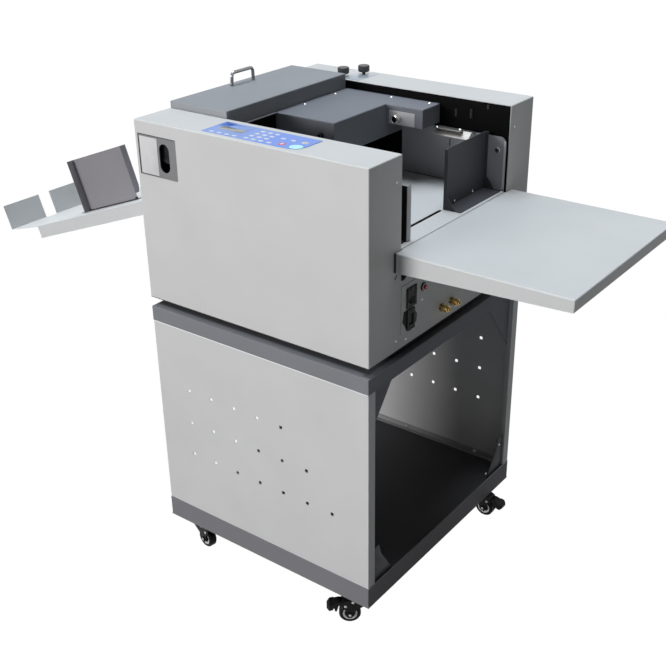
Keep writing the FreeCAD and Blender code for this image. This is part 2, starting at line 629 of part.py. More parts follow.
cam_inset = size("cam_inset", 60, "eccentrics from the side frames")
cam_gap = size("cam_gap", 0.2, "eccentrics' lowest point above the blade holder")
die_drop = size("die_drop", 0.5, "crease die's top below the paper's path")
die_height = size("die_height", 19.5, "crease die")
groove_width = size("groove_width", 2.4, "groove in the crease die")
groove_depth = size("groove_depth", 3, "groove in the crease die")


# ---------------------------------------------------------------- stand


def stand_base():
    """Welded pan: band walls, sunk shelf, and a plate, race and kingpin over each castor."""
    outer = box(stand_left, stand_front, castor_height, stand_length, stand_depth, base_band)
    outer = rounded(outer, corner_radius, lambda m, t, b: abs(t.z) > 0.9)
    shelf_top = panel_low - shelf_drop
    under = box(stand_left + wall, stand_front + wall, castor_height - 1, stand_length - wall * 2,
                stand_depth - wall * 2, shelf_top - wall - castor_height + 1)
    over = box(stand_left + hem, stand_front + hem, shelf_top, stand_length - hem * 2,
               stand_depth - hem * 2, shelf_drop + 1)
    pieces = [cut(outer, under, over)]
    plate_x = {castor_left: stand_left, castor_right: castor_right - castor_plate}
    plate_y = {castor_front: stand_front, castor_rear: castor_rear - castor_plate}
    for x, low_x in plate_x.items():
        for y, low_y in plate_y.items():
            length = castor_plate + (castor_left_inset if x is castor_left else castor_right_inset)
            depth = castor_plate + (castor_front_inset if y is castor_front else castor_rear_inset)
            pieces.append(box(low_x, low_y, castor_height, length, depth, wall * 2))
            pieces.append(rod("z", x, y, castor_height - race_height, race_radius, race_height))
            pieces.append(rod("z", x, y, castor_height - kingpin_length, kingpin_radius, kingpin_length))
    return union(*pieces)


node("stand_base", stand_base())


def stand_top_frame():
    """Dark tray turned upside down that the machine's feet stand on."""
    outer = box(stand_left, stand_front, panel_high, stand_length, stand_depth, top_band)
    outer = rounded(outer, corner_radius, lambda m, t, b: abs(t.z) > 0.9 or m.z > b.ZMax - 0.01)
    under = box(stand_left + wall, stand_front + wall, panel_high - 1, stand_length - wall * 2,
                stand_depth - wall * 2, top_band - wall + 1)
    return cut(outer, under)


node("stand_top_frame", stand_top_frame())

vent_rows = (7, 6, 5)


def stand_panel(name, x, y, turn):
    """Folded side panel with rows of square vents; the rear one is the same part turned round."""
    body = new_body(name)
    length = stand_length - panel_step * 2
    end = length - wall
    profile = [(0, 0), (length, 0), (length, panel_return), (length - panel_lip, panel_return),
               (length - panel_lip, panel_return - wall), (end, panel_return - wall), (end, wall),
               (wall, wall), (wall, panel_return - wall), (panel_lip, panel_return - wall),
               (panel_lip, panel_return), (0, panel_return)]
    pad(body, sketch(body, "XY_Plane", [profile]), panel_high - panel_low)
    half = vent_side / 2
    for row, count in enumerate(vent_rows):
        u = vent_first_x - panel_step
        v = vent_low_row + vent_pitch_z * row
        hole = sketch(body, "XZ_Plane", [rectangle(u - half, v - half, u + half, v + half)])
        first = pocket(body, hole, wall * 2, midplane=True)
        copies = body.newObject("PartDesign::LinearPattern", "vents")
        copies.Originals = [first]
        copies.Direction = (hole, ["H_Axis"])
        bind(copies, "Length", vent_pitch_x * (count - 1))
        copies.Occurrences = count
        body.Tip = copies
    set_place(body, x, y, panel_low, (0, 0, 1), turn)
    return node(name, body)


stand_panel("stand_front_panel", stand_left + panel_step, stand_front + panel_step, 0)
stand_panel("stand_rear_panel", stand_right - panel_step, stand_rear - panel_step, 180)


def gusset(x, y, turn):
    """Triangular corner plate with a flange along the top and one along the panel."""
    body = new_body("gusset")
    inner = [(0, 0), (gusset_reach, 0), (gusset_reach, -gusset_flange / 2),
             (gusset_flange, -gusset_drop), (0, -gusset_drop)]
    pad(body, sketch(body, "YZ_Plane", [inner]), wall)
    pad(body, sketch(body, "YZ_Plane", [rectangle(0, -wall, gusset_reach, 0)]), gusset_flange)
    pad(body, sketch(body, "YZ_Plane", [rectangle(0, -gusset_drop, wall, 0)]), gusset_flange)
    set_place(body, x, y, panel_high, (0, 0, 1), turn)
    return body


gusset_y = panel_step + wall
gusset_x = panel_step + panel_lip
group("stand_gussets", [
    gusset(stand_left + gusset_x, stand_front + gusset_y, 0),
    gusset(stand_right - gusset_x - gusset_flange, stand_front + gusset_y, 0),
    gusset(stand_left + gusset_x + gusset_flange, stand_rear - gusset_y, 180),
    gusset(stand_right - gusset_x, stand_rear - gusset_y, 180)])

# ---------------------------------------------------------------- castors
# Each castor is drawn with its swivel axis at its own origin and its trail along +X.


def castor_fork(name, x, y, angle, braked):
    """Pressed fork with its crown, king-pin hole, axle and axle nuts."""
    body = new_body(name)
    ear = pedal_pin_x + 5
    cheek = [(-16, fork_top - 3), (26, fork_top - 3), (ear, pedal_pin_z + 5), (ear, pedal_pin_z - 5),
             (trail + 10, wheel_radius + 13), (trail + 9, wheel_radius - 3), (trail + 4, wheel_radius - 9),
             (trail - 4, wheel_radius - 9), (trail - 9, wheel_radius - 3), (trail - 14, wheel_radius + 12),
             (-16, crown_low - 1)]
    pad(body, sketch(body, "XZ_Plane", [cheek]), fork_width, midplane=True)
    slot = sketch(body, "XZ_Plane", [rectangle(-40, 0, 80, crown_low)])
    pocket(body, slot, fork_slot, midplane=True)
    crown = rod("z", 0, 0, crown_low, race_radius - 1, fork_top - crown_low)
    nut = (fork_width - fork_slot) / 2
    axle = rod("y", trail, -fork_width / 2 - nut, wheel_radius, axle_radius, fork_width + nut * 2)
    heads = [rod("y", trail, -fork_width / 2 - nut, wheel_radius, axle_radius + 2, nut),
             rod("y", trail, fork_width / 2, wheel_radius, axle_radius + 2, nut)]
    holes = [rod("z", 0, 0, crown_low - 1, kingpin_radius + running_fit, fork_top)]
    if braked:
        holes.append(rod("y", pedal_pin_x, -fork_width, pedal_pin_z, pedal_pin_radius + running_fit,
                         fork_width * 2))
    fork = cut(union(body, crown, axle, *heads), *holes)
    set_place(fork, x, y, 0, (0, 0, 1), angle)
    return node(name, fork)


def castor_wheel(name, x, y, angle):
    """Moulded wheel: rounded tread, recessed web, hub bored for the axle."""
    body = new_body(name)
    tread = wheel_width / 2
    hub = fork_slot / 2 - joint_gap
    bore = axle_radius + running_fit
    right = [(hub, bore), (hub, bore + 4), (tread - 3, bore + 5), (tread - 3, wheel_radius - 9),
             (tread, wheel_radius - 8), (tread, wheel_radius - 3), (tread - 3, wheel_radius)]
    profile = right + [(-u, v) for u, v in reversed(right)]
    turned = body.newObject("PartDesign::Revolution", "revolution")
    drawing = sketch(body, "YZ_Plane", [profile])
    turned.Profile = drawing
    turned.ReferenceAxis = (drawing, ["H_Axis"])
    turned.Angle = 360
    body.Tip = turned
    away = math.radians(angle)
    set_place(body, x + trail * math.cos(away), y + trail * math.sin(away), wheel_radius, (0, 0, 1), angle)
    return node(name, body)


def castor_pedal(name, x, y, angle):
    """Brake pedal on its pin between the cheeks: arm with its shoe, and a wide curled toe."""
    arm = new_body(name)
    low, high = pedal_pin_z - 4, pedal_pin_z + 4
    shoe = pedal_pin_z - pedal_shoe
    outline = [(pedal_pin_x - 4, low), (pedal_pin_x + 11.5, low), (pedal_pin_x + 16, shoe), (pedal_pin_x + 19.5, shoe),
               (pedal_pin_x + 23, low - 4), (pedal_reach - 8, pedal_tip + 6), (pedal_reach - 8, pedal_tip + 12),
               (pedal_pin_x + 21, high - 1), (pedal_pin_x + 12, high + 1), (pedal_pin_x - 4, high)]
    pad(arm, sketch(arm, "XZ_Plane", [outline]), fork_slot - 2, midplane=True)
    side = new_body(name + "_toe")
    curl = [(pedal_reach - 19, low - 2), (pedal_reach - 14, pedal_tip + 2), (pedal_reach - 5, pedal_tip),
            (pedal_reach, pedal_tip + 4), (pedal_reach, pedal_tip + 9), (pedal_reach - 6, low + 3),
            (pedal_reach - 19, high - 2)]
    pad(side, sketch(side, "XZ_Plane", [curl]), pedal_width, midplane=True)
    plan = new_body(name + "_plan")
    half = pedal_width / 2
    shape = [(pedal_reach - 20, 4 - half), (pedal_reach - 14, -half), (pedal_reach - 6, -half), (pedal_reach, 6 - half),
             (pedal_reach, half - 6), (pedal_reach - 6, half), (pedal_reach - 14, half), (pedal_reach - 20, half - 4)]
    pad(plan, sketch(plan, "XY_Plane", [shape]), crown_low)
    toe = doc.addObject("Part::MultiCommon", "toe")
    toe.Shapes = [side, plan]
    pin = rod("y", pedal_pin_x, -fork_width / 2, pedal_pin_z, pedal_pin_radius, fork_width)
    pedal = union(arm, toe, pin)
    set_place(pedal, x, y, 0, (0, 0, 1), angle)
    return node(name, pedal)


castors = (("front_right", castor_right, castor_front, 218, True),
           ("rear_right", castor_right, castor_rear, 0, True),
           ("front_left", castor_left, castor_front, 350, False),
           ("rear_left", castor_left, castor_rear, 150, False))
for corner, x, y, angle, braked in castors:
    castor_fork("castor_fork_" + corner, x, y, angle, braked)
    castor_wheel("castor_wheel_" + corner, x, y, angle)
    if braked:
        castor_pedal("castor_pedal_" + corner, x, y, angle)

# ---------------------------------------------------------------- feet, pan and side frames


def rubber_foot(x, y):
    made = doc.addObject("Part::Cone", "foot")
    bind(made, "Radius1", foot_radius)
    bind(made, "Radius2", foot_radius - 2)
    bind(made, "Height", foot_height)
    set_place(made, x, y, stand_top)
    return made


foot_left = machine_left + foot_inset
foot_right = machine_right - foot_inset
foot_front = machine_front + foot_inset
foot_rear = machine_rear - foot_inset
group("rubber_feet", [rubber_foot(x, y) for x in (foot_left, foot_right) for y in (foot_front, foot_rear)])


def base_pan():
    """Floor plate under both housings, with the lift's two guide rods and the screw's bearing."""
    plate = box(machine_left, machine_front, housing_low, housing_length, machine_rear - machine_front, wall)
    plate = rounded(plate, corner_radius, lambda m, t, b: abs(t.z) > 0.9)
    pieces = [plate]
    for side in (-1, 1):
        y = lift_middle + lift_spread * side
        pieces.append(rod("z", screw_line, y, frame_low, rod_radius, rod_top - frame_low))
        pieces.append(rod("z", screw_line, y, frame_low, rod_radius + 6, 8))
    pieces.append(rod("z", screw_line, lift_middle, frame_low, screw_radius + 8, 10))
    bearing = rod("z", screw_line, lift_middle, frame_low, screw_radius + running_fit, 11)
    return cut(union(*pieces), bearing)


node("base_pan", base_pan())


def side_frame(y, extra_holes):
    """Steel side frame that carries the rollers' shafts and guides the blade holder."""
    plate = box(machine_left + wall, y, frame_low, housing_length - wall * 2, frame_plate,
                frame_high - frame_low)
    holes = []
    axes = [(outfeed_x, lower_axis), (outfeed_x, upper_axis), (infeed_x, lower_axis),
            (infeed_x, upper_axis), (crease_line, cam_axis)]
    for x, z in axes + extra_holes:
        holes.append(rod("y", x, y - 1, z, hole_radius, frame_plate + 2))
    half = tongue_width / 2 + running_fit
    holes.append(box(crease_line - half, y - 1, tongue_low - blade_travel - joint_gap, half * 2,
                     frame_plate + 2, tongue_height + blade_travel + joint_gap * 2))
    return cut(plate, *holes)


front_plate = side_frame(front_frame, [])
front_pin = rod("y", hinge_x, front_face, hinge_z, hinge_pin, hinge_reach)
node("front_side_frame", union(front_plate, front_pin))
rear_plate = side_frame(rear_face, [(crease_line, lower_axis), (crease_line, pinion_axis),
                                    (drum_line, drum_axis)])
rear_pin = rod("y", hinge_x, rear_face - hinge_reach, hinge_z, hinge_pin, hinge_reach)
node("rear_side_frame", union(rear_plate, rear_pin))

# ---------------------------------------------------------------- housings and end panels


def access_shape(gap, y, depth):
    """The access opening's outline, drawn in by a gap, as a block along +Y."""
    block = box(machine_left + plate_left + gap, y, housing_low + plate_rise + gap,
                plate_length - gap * 2, depth, plate_height - gap * 2)
    return rounded(block, plate_corner - gap,
                   lambda m, t, b: abs(t.y) > 0.9)


def front_housing():
    outer = box(machine_left, machine_front, frame_low, housing_length, front_depth, housing_top - frame_low)
    outer = rounded(outer, corner_radius, lambda m, t, b: m.y < b.YMax - 0.01 and m.z > b.ZMin + 0.01)
    hollow = box(machine_left + wall, machine_front + wall, frame_low - 1, housing_length - wall * 2,
                 front_depth, frame_high - frame_low + 1)
    return cut(outer, hollow, access_shape(as_size(0), machine_front - 1, wall + 2))


node("front_housing", front_housing())


def rear_housing():
    outer = box(machine_left, throat_rear, frame_low, housing_length, rear_depth, housing_top - frame_low)
    outer = rounded(outer, corner_radius, lambda m, t, b: m.y > b.YMin + 0.01 and m.z > b.ZMin + 0.01)
    hollow = box(machine_left + wall, throat_rear - wall, frame_low - 1, housing_length - wall * 2,
                 rear_depth, frame_high - frame_low + 1)
    stems = [rod("z", machine_left + x, throat_rear + y, frame_high - 1, stem_radius + running_fit, wall + 2)
             for x, y in ((left_knob_x, left_knob_y), (right_knob_x, right_knob_y))]
    return cut(outer, hollow, *stems)


node("rear_housing", rear_housing())


def access_plate():
    """Dark plate in the front housing with the stadium slot in front of the handwheel."""
    face = machine_front + plate_recess
    step = machine_front + wall
    front = access_shape(joint_gap, face, step - face)
    back = access_shape(-plate_flange, step, wall)
    half = slot_width / 2
    straight = slot_height - slot_width
    middle = housing_low + slot_rise
    depth = wall * 4
    tools = [box(crease_line - half, face - 1, middle - straight / 2, slot_width, depth, straight),
             rod("y", crease_line, face - 1, middle - straight / 2, half, depth),
             rod("y", crease_line, face - 1, middle + straight / 2, half, depth)]
    return cut(union(front, back), *tools)


node("access_plate", access_plate())


def hook_slots(x):
    """A slot at each side for the trays' hooks."""
    return [box(x - 1, y - joint_gap, slot_top - hook_slot, wall + 2, hook_thickness + joint_gap * 2, hook_slot)
            for y in (hook_front, hook_rear)]


def infeed_end_panel():
    """Right end wall of the throat, with the window behind the power panel."""
    top = housing_low + end_panel_rise
    x = end_face - wall
    panel = box(x, throat_front, frame_low, wall, throat_width, top - frame_low)
    fold = box(x - panel_fold, throat_front, top - wall, panel_fold, throat_width, wall)
    window = box(x - 1, power_front + window_margin, power_z + window_margin, wall + 2,
                 power_narrow - window_margin * 2, power_high - window_margin * 2)
    button = rod("x", x - 1, power_front + button_y, power_z + button_z, button_radius + 3, wall + 2)
    fittings = [rod("x", x - 1, throat_front + fitting_first + fitting_pitch * k,
                    housing_low + fitting_rise, fitting_thread + joint_gap, wall + 2) for k in (0, 1)]
    return cut(union(panel, fold), window, button, *(fittings + hook_slots(x)))


node("infeed_end_panel", infeed_end_panel())


def output_end_panel():
    """Left end wall of the throat, with the exit slot for the creased sheets."""
    top = housing_low + out_panel_rise
    panel = box(machine_left, throat_front, frame_low, wall, throat_width, top - frame_low)
    fold = box(machine_left + wall, throat_front, top - wall, panel_fold, throat_width, wall)
    mouth = box(machine_left - 1, throat_front + exit_inset, nip_level - exit_low, wall + 2,
                throat_width - exit_inset * 2, exit_low + exit_high)
    return cut(union(panel, fold), mouth, *hook_slots(machine_left))


node("output_end_panel", output_end_panel())


def cross_wall():
    """Bent steel guard across the throat between the cover and the feed head."""
    body = new_body("cross_wall")
    x0 = machine_left + wall_left
    top = cover_low - wall_top_drop
    low = top - wall_drop
    outline = [(x0, low), (x0 + wall, low), (x0 + wall, top), (x0 + wall - wall_ledge, top),
               (x0 + wall - wall_ledge, top - wall), (x0, top - wall)]
    pad(body, sketch(body, "XZ_Plane", [outline]), rear_face - front_face, flip=True)
    set_place(body, 0, front_face, 0)
    return body


node("cross_wall", cross_wall())

# ---------------------------------------------------------------- top cover and its handle


def top_cover():
    """Hinged lid over the creasing unit: a folded shell with a pin hole in each side skirt."""
    x = machine_left + cover_left
    y = throat_front + cover_side_gap
    depth = throat_width - cover_side_gap * 2
    outer = box(x, y, cover_low, cover_length, depth, cover_skirt)
    outer = rounded(outer, corner_radius, lambda m, t, b: m.z > b.ZMin + 0.01)
    hollow = box(x + wall, y + wall, cover_low - 1, cover_length - wall * 2, depth - wall * 2,
                 cover_skirt - wall + 1)
    pin = rod("y", hinge_x, y - 1, hinge_z, hinge_pin + running_fit, depth + 2)
    return cut(outer, hollow, pin)


node("top_cover", top_cover())


def bent_rod(label, points, bend, radius):
    """A round rod along straight runs joined by tangent arcs (corner points, one bend radius)."""
    edges = []
    start = points[0]
    for before, corner, after in zip(points, points[1:], points[2:]):
        back = (before - corner).normalize()
        on = (after - corner).normalize()
        half = back.getAngle(on) / 2
        reach = bend / math.tan(half)
        first = corner + back * reach
        last = corner + on * reach
        centre = corner + (back + on).normalize() * (bend / math.sin(half))
        middle = centre + (corner - centre).normalize() * bend
        edges.append(Part.LineSegment(start, first).toShape())
        edges.append(Part.Arc(first, middle, last).toShape())
        start = last
    edges.append(Part.LineSegment(start, points[-1]).toShape())
    ring = Part.Wire([Part.Circle(points[0], points[1] - points[0], radius).toShape()])
    made = doc.addObject("Part::Feature", label)
    made.Shape = Part.Wire(edges).makePipeShell([ring], True, False)
    return made


def cover_handle():
    """Chromed wire handle whose feet splay to the cover."""
    reach = handle_foot.value / 2
    grip = handle_grip.value / 2
    rise = handle_height.value - handle_radius.value
    points = [V3(0, -reach, -3), V3(0, -reach, 3), V3(0, -grip, rise), V3(0, grip, rise),
              V3(0, reach, 3), V3(0, reach, -3)]
    path = bent_rod("handle_rod", points, handle_bend.value, handle_radius.value)
    set_place(path, machine_left + cover_left + handle_x, throat_front + handle_y, cover_top)
    under = box(machine_left + cover_left, throat_front, cover_top - 10, cover_length, throat_width, 10)
    return cut(path, under)


node("cover_handle", cover_handle())

# ---------------------------------------------------------------- feed head


def feed_head_cover():
    """Dark hood, open below, over the suction drum, with the arm over the air valve."""
    depth = rear_face - head_y0
    arm_depth = rear_face - arm_y0
    block = box(head_x0, head_y0, head_top - head_height, head_length, depth, head_height)
    arm = box(head_x1 - 5, arm_y0, head_top - arm_height, arm_length + 5, arm_depth, arm_height)
    whole = doc.addObject("Part::MultiFuse", "union")
    whole.Shapes = [block, arm]
    whole.Refine = True
    outer = rounded(whole, corner_radius,
                    lambda m, t, b: m.z > b.ZMax - 0.01 and m.y < b.YMax - 0.01)
    hollow = box(head_x0 + wall, head_y0 + wall, head_top - head_height - 1, head_length - wall * 2,
                 depth - wall * 2, head_height - wall + 1)
    arm_hollow = box(head_x1 - wall * 2, arm_y0 + wall, head_top - arm_height - 1,
                     arm_length + wall, arm_depth - wall * 2, arm_height - wall + 1)
    drum_hole = rod("y", drum_line, head_y0 - 1, drum_axis, hole_radius, depth + 2)
    holes = [rod("y", head_x1 + head_knob_x, arm_y0 - 1, head_top - head_knob_drop,
                 knob_stem + running_fit, wall + 2),
             rod("y", head_x0 + side_knob_x, head_y0 - 1, head_top - side_knob_drop,
                 knob_stem + running_fit, wall + 2)]
    return cut(outer, hollow, arm_hollow, drum_hole, *holes)


node("feed_head_cover", feed_head_cover())


def knob(name, radius, length, stem, reach, flutes, flute_radius, x, y, z, axis, angle, neck=0):
    """Turned knob with a rim and finger flutes; its face looks along the given turn of +Z."""
    body = new_body(name)
    profile = [(0, -reach), (stem, -reach), (stem, neck), (radius - 1.5, neck), (radius, neck + 1.5),
               (radius, length - 1.5), (radius - 1.5, length), (0, length)]
    drawing = sketch(body, "XZ_Plane", [profile])
    turned = body.newObject("PartDesign::Revolution", "revolution")
    turned.Profile = drawing
    turned.ReferenceAxis = (drawing, ["V_Axis"])
    turned.Angle = 360
    body.Tip = turned
    top = sketch(body, "XY_Plane", (), [(radius + flute_radius / 2, 0, flute_radius)], lift=length + 1)
    first = pocket(body, top, length + 1 - neck)
    copies = body.newObject("PartDesign::PolarPattern", "flutes")
    copies.Originals = [first]
    copies.Axis = (origin_axis(body, "Z_Axis"), [""])
    copies.Angle = 360
    copies.Occurrences = flutes
    body.Tip = copies
    set_place(body, x, y, z, axis, angle)
    return node(name, body)


def origin_axis(body, role):
    return origin_plane(body, role)


knob("left_air_knob", air_knob_radius, air_knob_height, stem_radius, air_stem_reach, 24, knob_flute,
     machine_left + left_knob_x, throat_rear + left_knob_y, housing_top, (0, 0, 1), 0, air_knob_neck)
knob("right_air_knob", air_knob_radius, air_knob_height, stem_radius, air_stem_reach, 24, knob_flute,
     machine_left + right_knob_x, throat_rear + right_knob_y, housing_top, (0, 0, 1), 0, air_knob_neck)
knob("head_air_knob", head_knob_radius, head_knob_length, knob_stem, 14, 16, knob_flute,
     head_x1 + head_knob_x, arm_y0, head_top - head_knob_drop, (1, 0, 0), 90, knob_standoff)
knob("head_side_knob", side_knob_radius, side_knob_length, knob_stem, 14, 12, knob_flute / 2 + 0.2,
     head_x0 + side_knob_x, head_y0, head_top - side_knob_drop, (1, 0, 0), 90, knob_standoff)


def suction_drum():
    """Drum with two rows of suction holes, on its shaft between the feed head and the rear frame."""
    start = head_y0 + drum_front
    length = rear_face - drum_rear - start
    drum = rod("y", drum_line, start, drum_axis, drum_radius, length)
    shaft = rod("y", drum_line, head_y0 - 2, drum_axis, shaft_radius, rear_frame_back + 3 - head_y0 + 2)
    grooves = []
    for k in range(4):
        y = start + length * (k + 1) / 5
        ring = rod("y", drum_line, y - 4, drum_axis, drum_radius + 1, 8)
        core = rod("y", drum_line, y - 5, drum_axis, drum_radius - 1, 10)
        grooves.append(cut(ring, core))
    return union(cut(drum, *grooves), shaft)


node("suction_drum", suction_drum())


def rear_side_guide():
    """Fixed steel guide plate on four spacers, with a small slot near its top."""
    x0 = machine_left + guide_left
    z0 = feed_level + guide_foot_gap
    plate = box(x0, guide_y, z0, guide_length, wall, guide_height)
    plate = rounded(plate, guide_corner, lambda m, t, b: abs(t.y) > 0.9 and m.x > b.XMax - 1 and m.z > b.ZMax - 1)
    slot = box(x0 + guide_length * 0.47, guide_y - 1, z0 + guide_height - 43, 3, wall + 2, 18)
    spacers = [rod("y", x0 + guide_length * along, guide_y + wall, z0 + guide_height * up,
                   spacer_radius, rear_face - guide_y - wall)
               for along in (0.1, 0.9) for up in (0.25, 0.75)]
    return union(cut(plate, slot), *spacers)


node("rear_side_guide", rear_side_guide())


def separator_nozzle():
    """Bent steel lip on the rear side guide that parts the top sheet."""
    body = new_body("separator_nozzle")
    top = feed_level + guide_foot_gap + guide_height + nozzle_rise
    y1 = guide_y
    y0 = guide_y - nozzle_depth
    outline = [(y1, top - 16), (y1, top), (y1 - 12, top), (y0, top - nozzle_dip),
               (y0 + wall, top - nozzle_dip - wall), (y1 - 12 + wall, top - wall), (y1 - wall, top - wall),
               (y1 - wall, top - 16)]
    pad(body, sketch(body, "YZ_Plane", [outline]), nozzle_length)
    set_place(body, head_x1 + arm_length + nozzle_gap, 0, 0)
    return body


node("separator_nozzle", separator_nozzle())


def vacuum_pump():
    """Diaphragm pump on the floor of the throat: a ribbed block and two heads."""
    x = machine_left + 60
    y = throat_front + 41
    base = box(x, y, frame_low, pump_length, pump_depth, pump_height * 0.55)
    heads = [rod("z", x + pump_length * along, y + pump_depth / 2, frame_low, pump_depth * 0.2, pump_height)
             for along in (0.28, 0.72)]
    return union(base, *heads)


node("vacuum_pump", vacuum_pump())

# ---------------------------------------------------------------- infeed table and its guides


def infeed_table():
    """Lifting table: a folded tray turned down, hung on a bracket whose nut rides the screw."""
    length = table_x1 - table_x0
    depth = table_y1 - table_y0
    outer = box(table_x0, table_y0, feed_level - table_skirt, length, depth, table_skirt)
    outer = rounded(outer, corner_radius, lambda m, t, b: abs(t.z) > 0.9)
    hollow = box(table_x0 + wall, table_y0 + wall, feed_level - table_skirt - 1, length - wall * 2,
                 depth - wall * 2, table_skirt - table_plate + 1)
    half = table_slot_width / 2
    slot_x = table_x1 - table_slot_x
    slot_y = table_y0 + table_slot_y
    slot = [box(slot_x - half, slot_y, feed_level - 10, table_slot_width, table_slot_length, 20),
            rod("z", slot_x, slot_y, feed_level - 10, half, 20),
            rod("z", slot_x, slot_y + table_slot_length, feed_level - 10, half, 20)]
    top = cut(outer, hollow, *slot)
    reach = lift_spread + rod_radius + 9
    nut_z = frame_low + nut_rise
    under = feed_level - table_plate
    hangers = []
    for side in (-1, 1):
        y = lift_middle + reach * side
        hangers.append(box(screw_line - 20, y - wall, nut_z, 40, wall * 2, under - nut_z))
    bridge = box(screw_line - 20, lift_middle - reach, nut_z, 40, reach * 2, wall * 2)
    nut = rod("z", screw_line, lift_middle, nut_z, screw_radius + 7, nut_height)
    bushes = [rod("z", screw_line, lift_middle + lift_spread * side, nut_z, rod_radius + 4, nut_height)
              for side in (-1, 1)]
    bores = [rod("z", screw_line, lift_middle, nut_z - 1, screw_radius + running_fit, nut_height + 2)]
    bores += [rod("z", screw_line, lift_middle + lift_spread * side, nut_z - 1, rod_radius + running_fit,
                  nut_height + 2) for side in (-1, 1)]
    return union(top, cut(union(bridge, nut, *(hangers + bushes)), *bores))


node("infeed_table", infeed_table())


def elevator_screw():
    """Upright screw that lifts the table: plain core with its thread's crest left out."""
    return rod("z", screw_line, lift_middle, frame_low, screw_radius, rod_top - frame_low)


node("elevator_screw", elevator_screw())


def infeed_backstop():
    """Movable stop behind the paper stack: a plate with flared side flanges and a foot."""
    body = new_body("infeed_backstop")
    side = [(0, 0), (stop_flare, 0), (stop_flare, stop_plate), (stop_flange, stop_flare),
            (stop_flange, stop_height), (0, stop_height)]
    pad(body, sketch(body, "XZ_Plane", [side]), stop_width, flip=True)
    inner = [(stop_plate, -1), (stop_flare + 1, -1), (stop_flare + 1, stop_height + 1),
             (stop_plate, stop_height + 1)]
    pocket(body, sketch(body, "XZ_Plane", [inner], lift=-stop_plate), stop_width - stop_plate * 2, flip=False)
    foot = rectangle(0, 0, stop_foot, stop_width)
    pad(body, sketch(body, "XY_Plane", [foot]), stop_plate)
    set_place(body, table_x1 - stop_x, throat_front + stop_y, feed_level + slide_gap)
    return body


node("infeed_backstop", infeed_backstop())


def front_side_guide():
    """Movable guide on the table: a tall plate, a folded end and a foot towards the operator."""
    body = new_body("front_side_guide")
    plan = [(0, 0), (front_guide_length, 0), (front_guide_length, front_guide_return),
            (front_guide_length - wall, front_guide_return), (front_guide_length - wall, wall), (0, wall)]
    pad(body, sketch(body, "XY_Plane", [plan]), front_guide_height)
    foot = rectangle(wall, -front_guide_foot, front_guide_length - wall, wall)
    pad(body, sketch(body, "XY_Plane", [foot]), wall)
    set_place(body, table_x0 + front_guide_x, throat_front + front_guide_y, feed_level + slide_gap)
    return body


node("front_side_guide", front_side_guide())

# ---------------------------------------------------------------- trays


def tray_hook(x, y, root, reach, direction):
    """Triangular bracket with a hooked tongue through the end panel; it points along X."""
    body = new_body("tray_hook")
    seat = slot_top - feed_level
    tongue_low = seat - hook_slot + 1
    throat = wall + hook_seat
    outline = [(0, 0 - table_plate), (reach, 0 - table_plate), (2, -root), (0, -root),
               (0, tongue_low), (-throat, tongue_low), (-throat, tongue_low - hook_lip + 6),
               (-throat - hook_tongue, tongue_low - hook_lip + 6), (-throat - hook_tongue, seat - 3),
               (0, seat - 3)]
    flipped = [(u * direction, v) for u, v in outline]
    pad(body, sketch(body, "XZ_Plane", [flipped]), hook_thickness, flip=True)
    set_place(body, x, y, feed_level)
    return body


def infeed_tray():
    """Folded tray whose skirt tapers away from the machine, on two black hooks."""
    body = new_body("infeed_tray_shell")
    side = [(0, 0), (tray_length, 0), (tray_length, -tray_end_depth), (0, -tray_depth)]
    pad(body, sketch(body, "XZ_Plane", [side]), tray_width, flip=True)
    inside = [(wall, -table_plate), (tray_length - wall, -table_plate), (tray_length - wall, -tray_depth - 1),
              (wall, -tray_depth - 1)]
    outer = rounded(body, corner_radius, lambda m, t, b: m.z > b.ZMin + 1 and
                    (m.z > b.ZMax - 0.01 or m.x > b.XMax - 0.01 or abs(t.z) > 0.9))
    core = new_body("infeed_tray_core")
    pad(core, sketch(core, "XZ_Plane", [inside]), tray_width - wall * 2, flip=True)
    set_place(core, 0, wall, 0)
    shell = cut(outer, core)
    set_place(shell, end_face + tray_gap, tray_front, feed_level)
    hooks = [tray_hook(end_face, y, hook_root, hook_reach, 1) for y in (hook_front, hook_rear)]
    return union(shell, *hooks)


node("infeed_tray", infeed_tray())


def sloped(thing):
    """Turns a piece from the tray's own frame down the slope, its root at the machine's end."""
    moved = doc.addObject("Part::Compound", "sloped")
    moved.Links = [thing]
    set_place(moved, machine_left, tray_front, feed_level, (0, -1, 0), slope.value)
    bind(moved, "Placement.Rotation.Angle", slope)
    return moved


